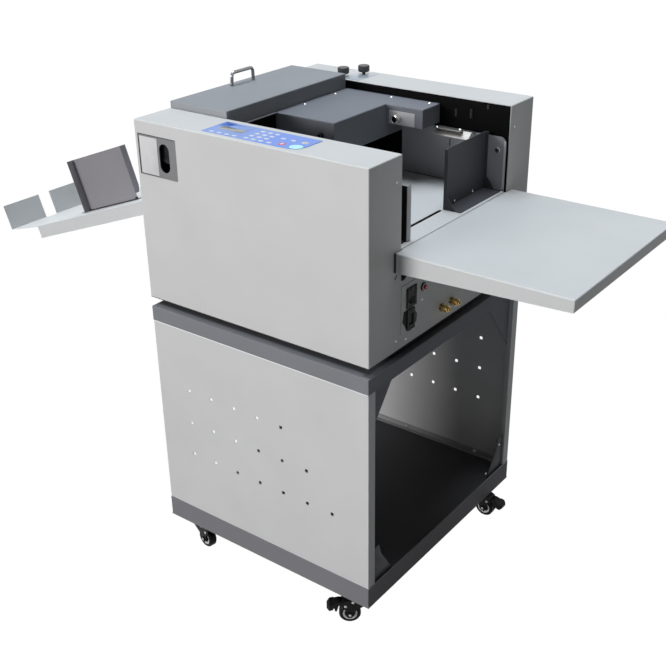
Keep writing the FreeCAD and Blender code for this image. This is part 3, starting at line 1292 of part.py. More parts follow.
def output_tray():
    """Sloping tray: wide skirted part, bare tapered tongue and two upright flaps at its end."""
    middle = tray_width / 2
    narrow = middle - out_width / 2
    wide = [(0, 0), (-out_length, 0), (-out_taper, narrow), (-out_taper, tray_width - narrow),
            (-out_length, tray_width), (0, tray_width), (20, tray_width), (20, 0)]
    body = new_body("output_tray_shell")
    pad(body, sketch(body, "XY_Plane", [wide], lift=-out_skirt), out_skirt)
    inner = rectangle(-out_length - 1, wall, 25, tray_width - wall)
    core = new_body("output_tray_core")
    pad(core, sketch(core, "XY_Plane", [inner], lift=-out_skirt - 1), out_skirt - wall + 1)
    notch = box(-out_taper - 1, narrow + flap_width, -out_skirt - 1, notch_depth + 1,
                out_width - flap_width * 2, out_skirt + 2)
    bare = box(-out_taper - 1, -1, -out_skirt - 1, out_taper + 1 - out_length, tray_width + 2, out_skirt + 1 - wall)
    flaps = [box(-out_taper, y, -wall, wall, flap_width, flap_height + wall)
             for y in (narrow, tray_width - narrow - flap_width)]
    tray = union(cut(body, core, notch, bare), *flaps)
    moved = sloped(tray)
    beyond = box(machine_left, tray_front - 1, feed_level - 200, 60, tray_width + 2, 260)
    trimmed = cut(moved, beyond)
    hooks = [tray_hook(machine_left, y, hook_root + 14, hook_reach, -1) for y in (hook_front, hook_rear)]
    above = sloped(box(-400, -10, -wall, 500, tray_width + 20, 200))
    return union(trimmed, *[cut(hook, above) for hook in hooks])


node("output_tray", output_tray())


def output_backstop():
    """Movable side plate on the output tray: one end folded to the front, one to the rear."""
    body = new_body("output_backstop")
    pad(body, sketch(body, "XZ_Plane", [rectangle(0, 0, out_stop_length, out_stop_height)]), wall, flip=True)
    lower = [(-out_stop_flange, 0), (wall, 0), (wall, out_stop_height), (-out_stop_flange, out_stop_height)]
    pad(body, sketch(body, "YZ_Plane", [lower]), wall)
    low = out_stop_chamfer
    upper = [(0, low), (out_stop_flange * 0.7, low), (out_stop_flange, low * 2),
             (out_stop_flange, out_stop_height), (0, out_stop_height)]
    pad(body, sketch(body, "YZ_Plane", [upper], lift=out_stop_length - wall), wall)
    foot = rectangle(-out_stop_foot, 0, out_stop_length, out_stop_flange)
    pad(body, sketch(body, "XY_Plane", [foot]), wall)
    rise = slide_gap
    x = machine_left - down * out_stop - fall * rise
    z = feed_level - fall * out_stop + down * rise
    set_place(body, x, tray_front + out_stop_inset, z, (0, -1, 0), slope.value)
    bind(body, "Placement.Rotation.Angle", slope)
    return body


node("output_backstop", output_backstop())

# ---------------------------------------------------------------- operator controls


def control_panel():
    """Flat keypad panel with one large rounded corner and a sunk display window."""
    block = box(machine_left + film_x, machine_front + film_y, housing_top, film_length, film_depth,
                film_thickness)
    block = rounded(block, film_corner, lambda m, t, b: abs(t.z) > 0.9 and m.x > b.XMax - 0.01
                    and m.y < b.YMin + 0.01)
    window = box(machine_left + film_x + window_x, machine_front + film_y + window_y,
                 housing_top + film_thickness - window_recess, window_length, window_depth, 2)
    return cut(block, window)


node("control_panel", control_panel())


def centred(x, y, z, dx, dy, dz):
    """A block along +X that is centred in Y and Z on a point."""
    return box(x, y - dy / 2, z - dz / 2, dx, dy, dz)


def power_panel():
    """Stepped cover plate with the rocker's bezel and the breaker's collar."""
    body = new_body("power_panel_plate")
    outline = [(0, 0), (power_narrow, 0), (power_narrow, power_step), (power_wide, power_step),
               (power_wide, power_high), (0, power_high)]
    pad(body, sketch(body, "YZ_Plane", [outline]), wall)
    set_place(body, end_face, power_front, power_z)
    y, z = power_front + rocker_y, power_z + rocker_z
    bezel = centred(end_face, y, z, wall + bezel_rise, bezel_width, bezel_height)
    well_width = rocker_width + joint_gap * 2
    well_height = rocker_height + rocker_play * 2
    tube = centred(end_face - 8, y, z, 9, well_width + wall * 2, well_height + wall * 2)
    well = centred(end_face - 9, y, z, 20, well_width, well_height)
    pivot = rod("y", end_face - rocker_depth, y - well_width, z, pivot_radius + running_fit, well_width * 2)
    by, bz = power_front + button_y, power_z + button_z
    collar = rod("x", end_face, by, bz, button_radius + 3, wall + button_collar)
    bore = rod("x", end_face - 1, by, bz, button_radius + running_fit, wall + button_collar + 2)
    inlet = centred(end_face - 1, power_front + inlet_y, power_z + inlet_z, wall + 2,
                    inlet_body_width + joint_gap * 2, inlet_body_height + joint_gap * 2)
    screws = [rod("x", end_face - 1, power_front + inlet_y, power_z + inlet_z + inlet_screws / 2 * side,
                  inlet_screw, wall + 2) for side in (-1, 1)]
    return cut(union(body, bezel, tube, collar), well, pivot, bore, inlet, *screws)


node("power_panel", power_panel())


def rocker_switch():
    """Rocker with two sloping faces and pivot pins in the bezel's cheeks."""
    body = new_body("rocker_switch")
    half = rocker_height / 2
    outline = [(5.5, 0), (8, half), (-3, half - 1), (-6, half - 5), (-6, 5 - half), (-3, 1 - half), (8, -half)]
    pad(body, sketch(body, "XZ_Plane", [outline]), rocker_width, midplane=True)
    pad(body, sketch(body, "XZ_Plane", (), [(0, 0, pivot_radius)]), rocker_width + wall * 2, midplane=True)
    set_place(body, end_face - rocker_depth, power_front + rocker_y, power_z + rocker_z, (0, -1, 0), 10)
    bind(body, "Placement.Rotation.Angle", rocker_swing / 2)
    return body


node("rocker_switch", rocker_switch())


def breaker_button():
    """Push-to-reset button with a retaining flange behind the panel."""
    y, z = power_front + button_y, power_z + button_z
    front = panel_face + button_collar + button_rise
    back = end_face - 5
    stem = rod("x", back, y, z, button_radius, front - back)
    flange = rod("x", back - 2, y, z, button_radius + 1.5, 2)
    return union(stem, flange)


node("breaker_button", breaker_button())


def power_inlet():
    """Mains inlet: flange with two screw holes, body through the panel, mouth with three pins."""
    y, z = power_front + inlet_y, power_z + inlet_z
    flange = rounded(centred(panel_face, y, z, inlet_flange, inlet_width, inlet_height), 3,
                     lambda m, t, b: abs(t.x) > 0.9)
    back = panel_face - inlet_depth
    body = centred(back, y, z, inlet_depth + 1, inlet_body_width, inlet_body_height)
    mouth = centred(back + 5, y, z, inlet_depth, inlet_mouth_width, inlet_mouth_height)
    screws = [rod("x", panel_face - 1, y, z + inlet_screws / 2 * side, inlet_screw, inlet_flange + 2)
              for side in (-1, 1)]
    pins = [centred(back + 4, y + dy, z + dz, 16, 2, 4) for dy, dz in ((2, 0), (-3, 7), (-3, -7))]
    return union(cut(union(flange, body), mouth, *screws), *pins)


node("power_inlet", power_inlet())


def air_fitting(y):
    """Brass spigot with a collar; it is drawn with its panel face at its own origin."""
    body = new_body("air_fitting")
    profile = [(-5, 3.5), (22, 3.5), (22, fitting_radius - 0.5), (21, fitting_radius), (9, fitting_radius), (9, 7),
               (5, 7), (5, 8.5), (0, 8.5), (0, fitting_thread), (-5, fitting_thread)]
    drawing = sketch(body, "XZ_Plane", [profile])
    turned = body.newObject("PartDesign::Revolution", "revolution")
    turned.Profile = drawing
    turned.ReferenceAxis = (drawing, ["H_Axis"])
    turned.Angle = 360
    body.Tip = turned
    set_place(body, end_face, y, housing_low + fitting_rise)
    return body


group("air_fittings", [air_fitting(throat_front + fitting_first + fitting_pitch * k) for k in (0, 1)])

# ---------------------------------------------------------------- creasing unit


def involute(angle):
    return math.tan(angle) - angle


def gap_outline(teeth):
    """One tooth gap, centred on +X: involute flanks drawn through the root, pitch and tip circles."""
    base = teeth / 2 * math.cos(math.radians(pressure_angle))
    outline = []
    root = teeth / 2 - root_factor
    tip = teeth / 2 + 1
    for ring in [root] + [base] * (base > root) + [teeth / 2, teeth / 2 + 0.5, tip, tip + 0.4]:
        at = math.acos(min(1, base / min(ring, tip)))
        half_tooth = math.pi / 2 / teeth - tooth_thinning / 2 / teeth
        half_tooth += involute(math.radians(pressure_angle)) - involute(at)
        half_gap = math.pi / teeth - half_tooth
        outline.append((tooth_module * (ring * math.cos(half_gap)), tooth_module * (ring * math.sin(half_gap))))
    return outline + [(u, -v) for u, v in reversed(outline)]


def gear(label, x, z, teeth, phase, bore=None):
    """Spur gear along +Y behind the rear frame; the phase is a tooth's angle from +X to +Z."""
    body = new_body(label)
    blank = sketch(body, "XZ_Plane", (), [(0, 0, tooth_module * (teeth / 2 + 1))])
    pad(body, blank, gear_width, flip=True)
    first = pocket(body, sketch(body, "XZ_Plane", [gap_outline(teeth)]), gear_width + 1)
    copies = body.newObject("PartDesign::PolarPattern", "teeth")
    copies.Originals = [first]
    copies.Axis = (origin_axis(body, "Y_Axis"), [""])
    copies.Angle = 360
    copies.Occurrences = teeth
    body.Tip = copies
    set_place(body, x, gear_face, z, (0, -1, 0), phase - 180 / teeth)
    return body


def meshing(phase, teeth, other_teeth, direction):
    """Phase of a gear that meshes with another in the given direction from it."""
    ahead = ((direction - phase) / (360 / teeth)) % 1
    return direction + 180 + (ahead - 0.5) * 360 / other_teeth


def roller(name, x, z, phase, tyres):
    """Feed roller between the side frames, with its shaft and its gear."""
    start = front_face + roller_inset
    length = rear_face - roller_inset - start
    core_radius = roller_radius - tyre_depth if tyres else roller_radius
    pieces = [rod("y", x, start, z, core_radius, length)]
    for k in range(tyres):
        y = start + (length - tyre_width) * k / (tyres - 1)
        pieces.append(rod("y", x, y, z, roller_radius, tyre_width))
    first = front_frame - shaft_overrun
    pieces.append(rod("y", x, first, z, shaft_radius, gear_face + gear_width - first))
    pieces.append(gear(name + "_gear", x, z, roller_teeth, phase))
    return node(name, union(*pieces))


outfeed_phase = meshing(idler_phase, idler_teeth, roller_teeth, 180)
infeed_phase = meshing(idler_phase, idler_teeth, roller_teeth, 0)
pinion_phase = meshing(idler_phase, idler_teeth, pinion_teeth, 270)
roller("outfeed_roller_lower", outfeed_x, lower_axis, outfeed_phase, 0)
roller("infeed_roller_lower", infeed_x, lower_axis, infeed_phase, 0)
roller("outfeed_roller_upper", outfeed_x, upper_axis,
       meshing(outfeed_phase, roller_teeth, roller_teeth, 90), 5)
roller("infeed_roller_upper", infeed_x, upper_axis,
       meshing(infeed_phase, roller_teeth, roller_teeth, 90), 5)

idler_wheel = gear("idler_wheel", crease_line, lower_axis, idler_teeth, idler_phase)
idler_start = rear_face + joint_gap
idler_shaft = rod("y", crease_line, idler_start, lower_axis, shaft_radius, gear_face + gear_width - idler_start)
idler_hub = rod("y", crease_line, rear_frame_back + joint_gap, lower_axis, shaft_radius + 3,
                gear_face + gear_width + 2 - rear_frame_back - joint_gap)
node("idler_gear", union(idler_wheel, idler_shaft, idler_hub))


def drive_motor():
    """Round gear motor flanged to the rear frame, bored for the pinion's shaft."""
    can = rod("y", crease_line, rear_face - motor_length, pinion_axis, motor_radius - 3, motor_length - 10)
    head = rod("y", crease_line, rear_face - 12, pinion_axis, motor_radius, 12)
    bore = rod("y", crease_line, rear_face - motor_shaft - joint_gap, pinion_axis, hole_radius, motor_shaft + 1)
    return cut(union(can, head), bore)


node("drive_motor", drive_motor())
pinion_wheel = gear("pinion_wheel", crease_line, pinion_axis, pinion_teeth, pinion_phase)
pinion_start = rear_face - motor_shaft
pinion_shaft = rod("y", crease_line, pinion_start, pinion_axis, shaft_radius,
                   gear_face + gear_width + 2 - pinion_start)
node("motor_pinion", union(pinion_wheel, pinion_shaft))


def cam_shaft():
    """Cross shaft with two eccentrics; the handwheel sits on its front end."""
    start = machine_front + wheel_hand_y
    end = rear_frame_back + gear_space
    shaft = rod("y", crease_line, start, cam_axis, shaft_radius, end - start)
    cams = [rod("y", crease_line, y, cam_axis + cam_throw, cam_radius, cam_length)
            for y in (front_face + cam_inset, rear_face - cam_inset - cam_length)]
    collar = rod("y", crease_line, front_face + 1, cam_axis, shaft_radius + 3, 8)
    return union(shaft, collar, *cams)


node("cam_shaft", cam_shaft())


def handwheel():
    """Spoked handwheel behind the access plate's slot."""
    body = new_body("handwheel")
    rim = wheel_hand_radius
    web = wheel_hand_width / 2
    profile = [(shaft_radius + running_fit, 0), (9, 0), (9, web - 2), (rim - 6, web - 2), (rim - 6, 0),
               (rim - 1, 0), (rim, 1), (rim, wheel_hand_width - 1), (rim - 1, wheel_hand_width),
               (rim - 6, wheel_hand_width), (rim - 6, web + 2), (9, web + 2), (9, wheel_hand_width + 3),
               (shaft_radius + running_fit, wheel_hand_width + 3)]
    drawing = sketch(body, "XY_Plane", [profile])
    turned = body.newObject("PartDesign::Revolution", "revolution")
    turned.Profile = drawing
    turned.ReferenceAxis = (drawing, ["V_Axis"])
    turned.Angle = 360
    body.Tip = turned
    window = sketch(body, "XZ_Plane", (), [(14.5, 0, 4)], lift=0)
    first = pocket(body, window, wheel_hand_width + 4)
    copies = body.newObject("PartDesign::PolarPattern", "windows")
    copies.Originals = [first]
    copies.Axis = (origin_axis(body, "Y_Axis"), [""])
    copies.Angle = 360
    copies.Occurrences = 6
    body.Tip = copies
    set_place(body, crease_line, machine_front + wheel_hand_y, cam_axis)
    return body


node("handwheel", handwheel())


def blade_holder():
    """Creasing blade in its holder; tongues at both ends slide in the side frames."""
    body = new_body("blade_holder_bar")
    half = holder_width / 2
    top = cam_axis - cam_radius - cam_throw - cam_gap
    height = top - holder_low
    outline = [(-0.6, 0), (0.6, 0), (0.6, 6), (half, 12), (half, height), (-half, height), (-half, 12), (-0.6, 6)]
    bar = sketch(body, "XZ_Plane", [outline])
    gap = cover_side_gap
    pad(body, bar, rear_face - front_face - gap * 2, flip=True)
    set_place(body, crease_line, front_face + gap, holder_low)
    tongue = box(crease_line - tongue_width / 2, front_frame, tongue_low, tongue_width,
                 rear_frame_back - front_frame, tongue_height)
    return union(body, tongue)


node("blade_holder", blade_holder())


def crease_die():
    """Grooved anvil bar between the side frames."""
    body = new_body("crease_die")
    half = holder_width / 2
    groove = groove_width / 2
    outline = [(-half, 0), (half, 0), (half, die_height - 3), (half - 3, die_height), (groove, die_height),
               (groove, die_height - groove_depth), (-groove, die_height - groove_depth), (-groove, die_height),
               (3 - half, die_height), (-half, die_height - 3)]
    pad(body, sketch(body, "XZ_Plane", [outline]), rear_face - front_face, flip=True)
    set_place(body, crease_line, front_face, nip_level - die_drop - die_height)
    return body


node("crease_die", crease_die())


# ---------------------------------------------------------------- checks and export
def sound(thing):
    shape = thing.Shape
    return not shape.isNull() and shape.isValid() and len(shape.Solids) > 0


doc.recompute()
failed = [thing.Name + " " + thing.Label for thing in doc.Objects
          if "Invalid" in thing.State or "Error" in thing.State]
unsound = [name for name, thing in nodes.items() if not sound(thing)]
if failed or unsound:
    raise SystemExit("failed objects: %s; unsound shapes: %s" % (failed, unsound))
os.makedirs("parts", exist_ok=True)
for name, thing in nodes.items():
    thing.Shape.exportStep("parts/%s.step" % name)
print("wrote", len(nodes), "nodes")
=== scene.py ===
import math

import bmesh
import bpy
from mathutils import Matrix, Vector


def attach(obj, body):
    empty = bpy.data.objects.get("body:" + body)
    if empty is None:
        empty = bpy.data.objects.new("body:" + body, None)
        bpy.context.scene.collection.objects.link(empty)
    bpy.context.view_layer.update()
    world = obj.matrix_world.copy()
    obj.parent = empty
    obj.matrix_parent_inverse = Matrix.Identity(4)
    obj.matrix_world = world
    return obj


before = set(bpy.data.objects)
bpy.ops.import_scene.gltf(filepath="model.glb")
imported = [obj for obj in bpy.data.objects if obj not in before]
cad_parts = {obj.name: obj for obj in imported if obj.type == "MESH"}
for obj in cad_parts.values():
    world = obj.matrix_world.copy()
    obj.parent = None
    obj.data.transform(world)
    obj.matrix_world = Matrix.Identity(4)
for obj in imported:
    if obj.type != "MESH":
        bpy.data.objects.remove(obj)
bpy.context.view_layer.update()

# ---------------------------------------------------------------- view
# A catalogue view from the operator's right and a little above the machine, with a
# long lens, so that the upright edges stay nearly parallel.
eye = Vector((1.56717, -1.80767, 1.6721))
turn, rise, lean = (math.radians(angle) for angle in (37.382, 26.525, -0.935))
backward = Vector((math.sin(turn) * math.cos(rise), -math.cos(turn) * math.cos(rise),
                   math.sin(rise)))
across = Vector((math.cos(turn), math.sin(turn), 0))
upward = backward.cross(across)
view_x = across * math.cos(lean) + upward * math.sin(lean)
view_y = upward * math.cos(lean) - across * math.sin(lean)
view_turn = Matrix((view_x, view_y, backward)).transposed().to_4x4()
lens = bpy.data.cameras.new("catalogue_view")
lens.lens = 57.09
lens.sensor_width = 36
lens.sensor_fit = "HORIZONTAL"
lens.clip_start = 0.05
lens.clip_end = 100
camera = bpy.data.objects.new("catalogue_view", lens)
camera.matrix_world = Matrix.Translation(eye) @ view_turn
bpy.context.scene.collection.objects.link(camera)
bpy.context.scene.camera = camera
bpy.context.scene.view_settings.view_transform = "Standard"

# ---------------------------------------------------------------- floor and light
# A white studio floor under one wide lamp from the front left and one from above, with
# weak light all round. The camera and mirrors see plain white; the floor keeps the
# castors' shadow.
AMBIENT = 0.07
WHITE = (1, 1, 1)
FLOOR_REACH = 15
FLOOR_GREY = 0.20
FLOOR_GLOW = 1.07
FLOOR_GLOW_SHARE = 0.93
MIX_SHARE, MIX_FIRST, MIX_SECOND, MIX_RESULT = 0, 6, 7, 2


def link(tree, start, end):
    """Joins a node's output to another node's input."""
    tree.links.new(start, end)


def calculate(tree, operation, *terms):
    """The result of one operation on numbers or other nodes' outputs."""
    made = tree.nodes.new("ShaderNodeMath")
    made.operation = operation
    for socket, term in zip(made.inputs, terms):
        if isinstance(term, (int, float)):
            socket.default_value = term
        else:
            link(tree, term, socket)
    return made.outputs[0]


def blend(tree, share, first, second):
    """A colour between two others, each of them a tuple or another node's output."""
    made = tree.nodes.new("ShaderNodeMix")
    made.data_type = "RGBA"
    link(tree, share, made.inputs[MIX_SHARE])
    for place, colour in ((MIX_FIRST, first), (MIX_SECOND, second)):
        if isinstance(colour, tuple):
            made.inputs[place].default_value = (*colour, 1)
        else:
            link(tree, colour, made.inputs[place])
    return made.outputs[MIX_RESULT]


def seen_directly(tree):
    """1 for rays from the camera, from gloss and through glass, 0 for scattered light."""
    path = tree.nodes.new("ShaderNodeLightPath")
    straight = calculate(tree, "ADD", path.outputs["Is Camera Ray"],
                         path.outputs["Is Glossy Ray"])
    any_of = calculate(tree, "ADD", straight, path.outputs["Is Transmission Ray"])
    return calculate(tree, "MINIMUM", any_of, 1)


world = bpy.data.worlds.new("studio")
world.use_nodes = True
bpy.context.scene.world = world
world_tree = world.node_tree
sky = world_tree.nodes["Background"]
sky.inputs["Strength"].default_value = 1
link(world_tree, blend(world_tree, seen_directly(world_tree),
                       (AMBIENT * 1.04, AMBIENT, AMBIENT * 0.93), WHITE), sky.inputs["Color"])

for name, toward, energy, width, tint in (
        ("front_lamp", (-0.39, -0.915, 0.075), 3.10, 28, WHITE),
        ("top_lamp", (-0.13, 0.12, 1.0), 2.88, 38, (0.90, 0.985, 1.05))):
    lamp_data = bpy.data.lights.new(name, "SUN")
    lamp_data.energy = energy
    lamp_data.color = tint
    lamp_data.angle = math.radians(width)
    lamp = bpy.data.objects.new(name, lamp_data)
    lamp.rotation_euler = Vector(toward).to_track_quat("Z", "Y").to_euler()
    bpy.context.scene.collection.objects.link(lamp)

floor_mesh = bpy.data.meshes.new("studio_floor")
floor_mesh.from_pydata([(x * FLOOR_REACH, y * FLOOR_REACH, 0)
                        for x, y in ((-1, -1), (1, -1), (1, 1), (-1, 1))], [], [(0, 1, 2, 3)])
floor = bpy.data.objects.new("studio_floor", floor_mesh)
bpy.context.scene.collection.objects.link(floor)
floor_paint = bpy.data.materials.new("studio_floor")
floor_paint.use_nodes = True
floor_tree = floor_paint.node_tree
matt = floor_tree.nodes["Principled BSDF"]
matt.inputs["Base Color"].default_value = (FLOOR_GREY, FLOOR_GREY, FLOOR_GREY, 1)
matt.inputs["Roughness"].default_value = 1
matt.inputs["Specular IOR Level"].default_value = 0
glow = floor_tree.nodes.new("ShaderNodeEmission")
glow.inputs["Color"].default_value = (*WHITE, 1)
glow.inputs["Strength"].default_value = FLOOR_GLOW
both = floor_tree.nodes.new("ShaderNodeMixShader")
link(floor_tree, calculate(floor_tree, "MULTIPLY", seen_directly(floor_tree), FLOOR_GLOW_SHARE),
     both.inputs["Fac"])
link(floor_tree, matt.outputs[0], both.inputs[1])
link(floor_tree, glow.outputs[0], both.inputs[2])
link(floor_tree, both.outputs[0], floor_tree.nodes["Material Output"].inputs["Surface"])
floor_mesh.materials.append(floor_paint)

# ---------------------------------------------------------------- stand
# A welded pan and a dark top frame in charcoal powder coat, with a light folded front
# and rear panel between them and four triangular gussets inside.
FINE_GRAIN = 1100
CLOUD_GRAIN = 7
PEEL_DEPTH = 0.0004
NOISE_LOW, NOISE_HIGH = 0.3, 0.7


def at(x, y, z):
    """Metres in the part's frame from millimetres off the machine's front left corner."""
    return Vector(((x - 110.5) / 1000, (y - 300) / 1000, z / 1000))


def finish(name, roughness, specular=0.5, metallic=0.0):
    """A new node material with its constants on the shader's own sockets."""
    made = bpy.data.materials.new(name)
    made.use_nodes = True
    shader = made.node_tree.nodes["Principled BSDF"]
    shader.inputs["Roughness"].default_value = roughness
    shader.inputs["Specular IOR Level"].default_value = specular
    shader.inputs["Metallic"].default_value = metallic
    return made, made.node_tree, shader


def speckle(tree, scale, detail=2.0, stretch=(1, 1, 1)):
    """Noise on the piece's own coordinates; scale is in bumps a metre."""
    spot = tree.nodes.new("ShaderNodeTexCoord")
    pull = tree.nodes.new("ShaderNodeMapping")
    pull.inputs["Scale"].default_value = stretch
    noise = tree.nodes.new("ShaderNodeTexNoise")
    noise.inputs["Scale"].default_value = scale
    noise.inputs["Detail"].default_value = detail
    link(tree, spot.outputs["Object"], pull.inputs["Vector"])
    link(tree, pull.outputs["Vector"], noise.inputs["Vector"])
    return noise.outputs["Fac"]


def ramp(tree, value, low, high):
    """The middle of a noise, turned into a run from one colour to another."""
    made = tree.nodes.new("ShaderNodeValToRGB")
    made.color_ramp.elements[0].position = NOISE_LOW
    made.color_ramp.elements[1].position = NOISE_HIGH
    made.color_ramp.elements[0].color = (*low, 1)
    made.color_ramp.elements[1].color = (*high, 1)
    link(tree, value, made.inputs["Fac"])
    return made.outputs["Color"]


def spread(tree, value, low, high):
    """The middle of a noise, stretched from one number to another."""
    made = tree.nodes.new("ShaderNodeMapRange")
    made.inputs["From Min"].default_value = NOISE_LOW
    made.inputs["From Max"].default_value = NOISE_HIGH
    made.inputs["To Min"].default_value = low
    made.inputs["To Max"].default_value = high
    link(tree, value, made.inputs["Value"])
    return made.outputs["Result"]


def texture_bump(tree, value, shader, strength, depth):
    """Roughens a surface by a noise, with the depth in metres."""
    made = tree.nodes.new("ShaderNodeBump")
    made.inputs["Strength"].default_value = strength
    made.inputs["Distance"].default_value = depth
    link(tree, value, made.inputs["Height"])
    link(tree, made.outputs["Normal"], shader.inputs["Normal"])


def powder_coat(name, colour, roughness=0.48, specular=0.35, grain=900, bump=0.12):
    """Baked powder paint: orange peel, faint cloudiness and uneven gloss."""
    made, tree, shader = finish(name, roughness, specular)
    shade = [c * 0.975 for c in colour]
    light = [min(1, c * 1.02) for c in colour]
    link(tree, ramp(tree, speckle(tree, CLOUD_GRAIN), shade, light), shader.inputs["Base Color"])
    peel = speckle(tree, grain, 3)
    link(tree, spread(tree, peel, roughness - 0.05, roughness + 0.07),
         shader.inputs["Roughness"])
    texture_bump(tree, peel, shader, bump, PEEL_DEPTH)
    return made


def smooth_finish(name, low, high, roughness=0.35, specular=0.4, metallic=0.0, grain=120):
    """A moulded or plated surface whose colour drifts between two shades."""
    made, tree, shader = finish(name, roughness, specular, metallic)
    link(tree, ramp(tree, speckle(tree, grain), low, high), shader.inputs["Base Color"])
    return made


def dress(material, *names):
    """Gives CAD nodes a finish in their own material slots."""
    for name in names:
        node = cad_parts[name]
        if not node.material_slots:
            node.data.materials.append(material)
        for slot in node.material_slots:
            slot.material = material


charcoal_coat = powder_coat("charcoal_powder_coat", (0.225, 0.230, 0.248), 0.50, 0.03, FINE_GRAIN)
base_coat = powder_coat("base_powder_coat", (0.215, 0.210, 0.225), 0.50, 0.03, FINE_GRAIN)
shelf_coat = powder_coat("shelf_powder_coat", (0.088, 0.087, 0.096), 0.50, 0.12, FINE_GRAIN)
stand_coat = powder_coat("stand_panel_coat", (0.62, 0.615, 0.62), 0.50, 0.15)
strip_coat = powder_coat("strip_powder_coat", (0.36, 0.36, 0.365), 0.50, 0.10)
# A near-white coat for thin strips of painted highlight on edges.
highlight_coat = powder_coat("painted_highlight_coat", (0.86, 0.86, 0.87), 0.45, 0.2)
dress(charcoal_coat, "stand_top_frame", "stand_gussets")
dress(base_coat, "stand_base")
dress(stand_coat, "stand_front_panel", "stand_rear_panel")


def bar(bm, low, high, edge=0.0004):
    """Adds a box between two corners, with softened edges, to a mesh."""
    middle = (low + high) / 2
    stand = Matrix.Translation(middle) @ Matrix.Diagonal((*(high - low), 1))
    made = bmesh.ops.create_cube(bm, size=1, matrix=stand)
    edges = list({e for v in made["verts"] for e in v.link_edges})
    bmesh.ops.bevel(bm, geom=edges, offset=edge, segments=2, affect="EDGES", profile=0.5)


def plate(bm, outline, thickness, edge=0.0003):
    """Adds a flat plate from its outline's corners, thickened against its normal."""
    face = bm.faces.new([bm.verts.new(p) for p in outline])
    face.normal_update()
    down = -face.normal * thickness
    under = [bm.verts.new(v.co + down) for v in face.verts]
    top = list(face.verts)
    bm.faces.new(list(reversed(under)))
    rim = []
    for k, v in enumerate(top):
        n = (k + 1) % len(top)
        bm.faces.new((top[n], v, under[k], under[n]))
        rim.append(bm.edges.get((v, top[n])))
    bmesh.ops.bevel(bm, geom=rim, offset=edge, segments=2, affect="EDGES", profile=0.5)


def make_piece(name, bm, material, body, smooth=32):
    """Turns a finished mesh into a piece that rides on a body."""
    mesh = bpy.data.meshes.new(name)
    bmesh.ops.recalc_face_normals(bm, faces=bm.faces)
    bm.to_mesh(mesh)
    bm.free()
    mesh.shade_smooth()
    mesh.set_sharp_from_angle(angle=math.radians(smooth))
    mesh.materials.append(material)
    made = bpy.data.objects.new(name, mesh)
    bpy.context.scene.collection.objects.link(made)
    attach(made, body)


def bars(name, boxes, material, body, edge=0.0004):
    """A piece of softened boxes, each from its low to its high corner in millimetres."""
    bm = bmesh.new()
    for low, high in boxes:
        bar(bm, at(*low), at(*high), edge)
    make_piece(name, bm, material, body)


# The shelf is a dark liner in the pan. A black strip on the top frame's right rim, under the
# housing, is painted shade. A screwed strip along the rear panel's foot and two upright corner
# brackets hold the panels; thin light strips on the pan's open rim and the front panel's folded
# top edge are painted highlights.
bars("shelf_liner", [((22.5, -13.7, 116.2), (621.9, 611.7, 116.9))],
     shelf_coat, "machine", 0.0002)
bars("stand_top_painted_shade", [((606, -10, 655.0), (624.6, 612, 655.6))],
     shelf_coat, "machine", 0.0002)
bars("rear_angle_strip", [((32, 609.0, 117), (612, 611.5, 131.4)),
                          ((32, 600, 117), (612, 611.5, 118.5))],
     strip_coat, "machine")
bars("base_rim_painted_highlight", [((624.9, -17.2, 127.5), (626.0, 615.2, 128.4))],
     strip_coat, "machine", 0.0002)
bars("panel_top_painted_highlight", [((21, -18.2, 617.8), (623.5, -17.3, 619.9))],
     highlight_coat, "machine", 0.0002)
BRACKET_X = 619
BRACKET_OUTLINE = ((0, 117), (91, 117), (68, 150), (42, 191), (34.5, 219), (0, 216))
bm = bmesh.new()
for y, side in ((600, 1), (-2, -1)):
    foot = [at(BRACKET_X, y - out * side, z) for out, z in BRACKET_OUTLINE]
    plate(bm, foot if side < 0 else list(reversed(foot)), 0.0015)
make_piece("corner_brackets", bm, shelf_coat, "machine")

# ---------------------------------------------------------------- screws
# Small pan-head screws with a socket, in bright or dull zinc or black oxide. One tree
# grows the heads of each body on points that carry the way they face.
TOP, FRONT, RIGHT, BACK = (0, 0, 1), (0, -1, 0), (1, 0, 0), (0, 1, 0)
HOUSING_END = 614
HOUSING_BACK = 641
DOME_POWER = 0.55
SOCKET_DEPTH = 0.6


def new_growth(name, inputs):
    """A geometry tree with its inputs, as names and kinds, and its two end nodes."""
    tree = bpy.data.node_groups.new(name, "GeometryNodeTree")
    ask = tree.interface.new_socket
    for label, kind in (("Geometry", "Geometry"), *inputs, ("Finish", "Material")):
        ask(name=label, in_out="INPUT", socket_type="NodeSocket" + kind)
    ask(name="Geometry", in_out="OUTPUT", socket_type="NodeSocketGeometry")
    return tree, tree.nodes.new("NodeGroupInput"), tree.nodes.new("NodeGroupOutput")


def put_copies(tree, given, result, shape):
    """Puts a copy of a shape on every point, as real mesh in the given finish."""
    put = tree.nodes.new("GeometryNodeInstanceOnPoints")
    whole = tree.nodes.new("GeometryNodeRealizeInstances")
    paint = tree.nodes.new("GeometryNodeSetMaterial")
    link(tree, given.outputs["Geometry"], put.inputs["Points"])
    link(tree, shape, put.inputs["Instance"])
    link(tree, put.outputs["Instances"], whole.inputs["Geometry"])
    link(tree, whole.outputs["Geometry"], paint.inputs["Geometry"])
    link(tree, given.outputs["Finish"], paint.inputs["Material"])
    link(tree, paint.outputs["Geometry"], result.inputs["Geometry"])
    return put


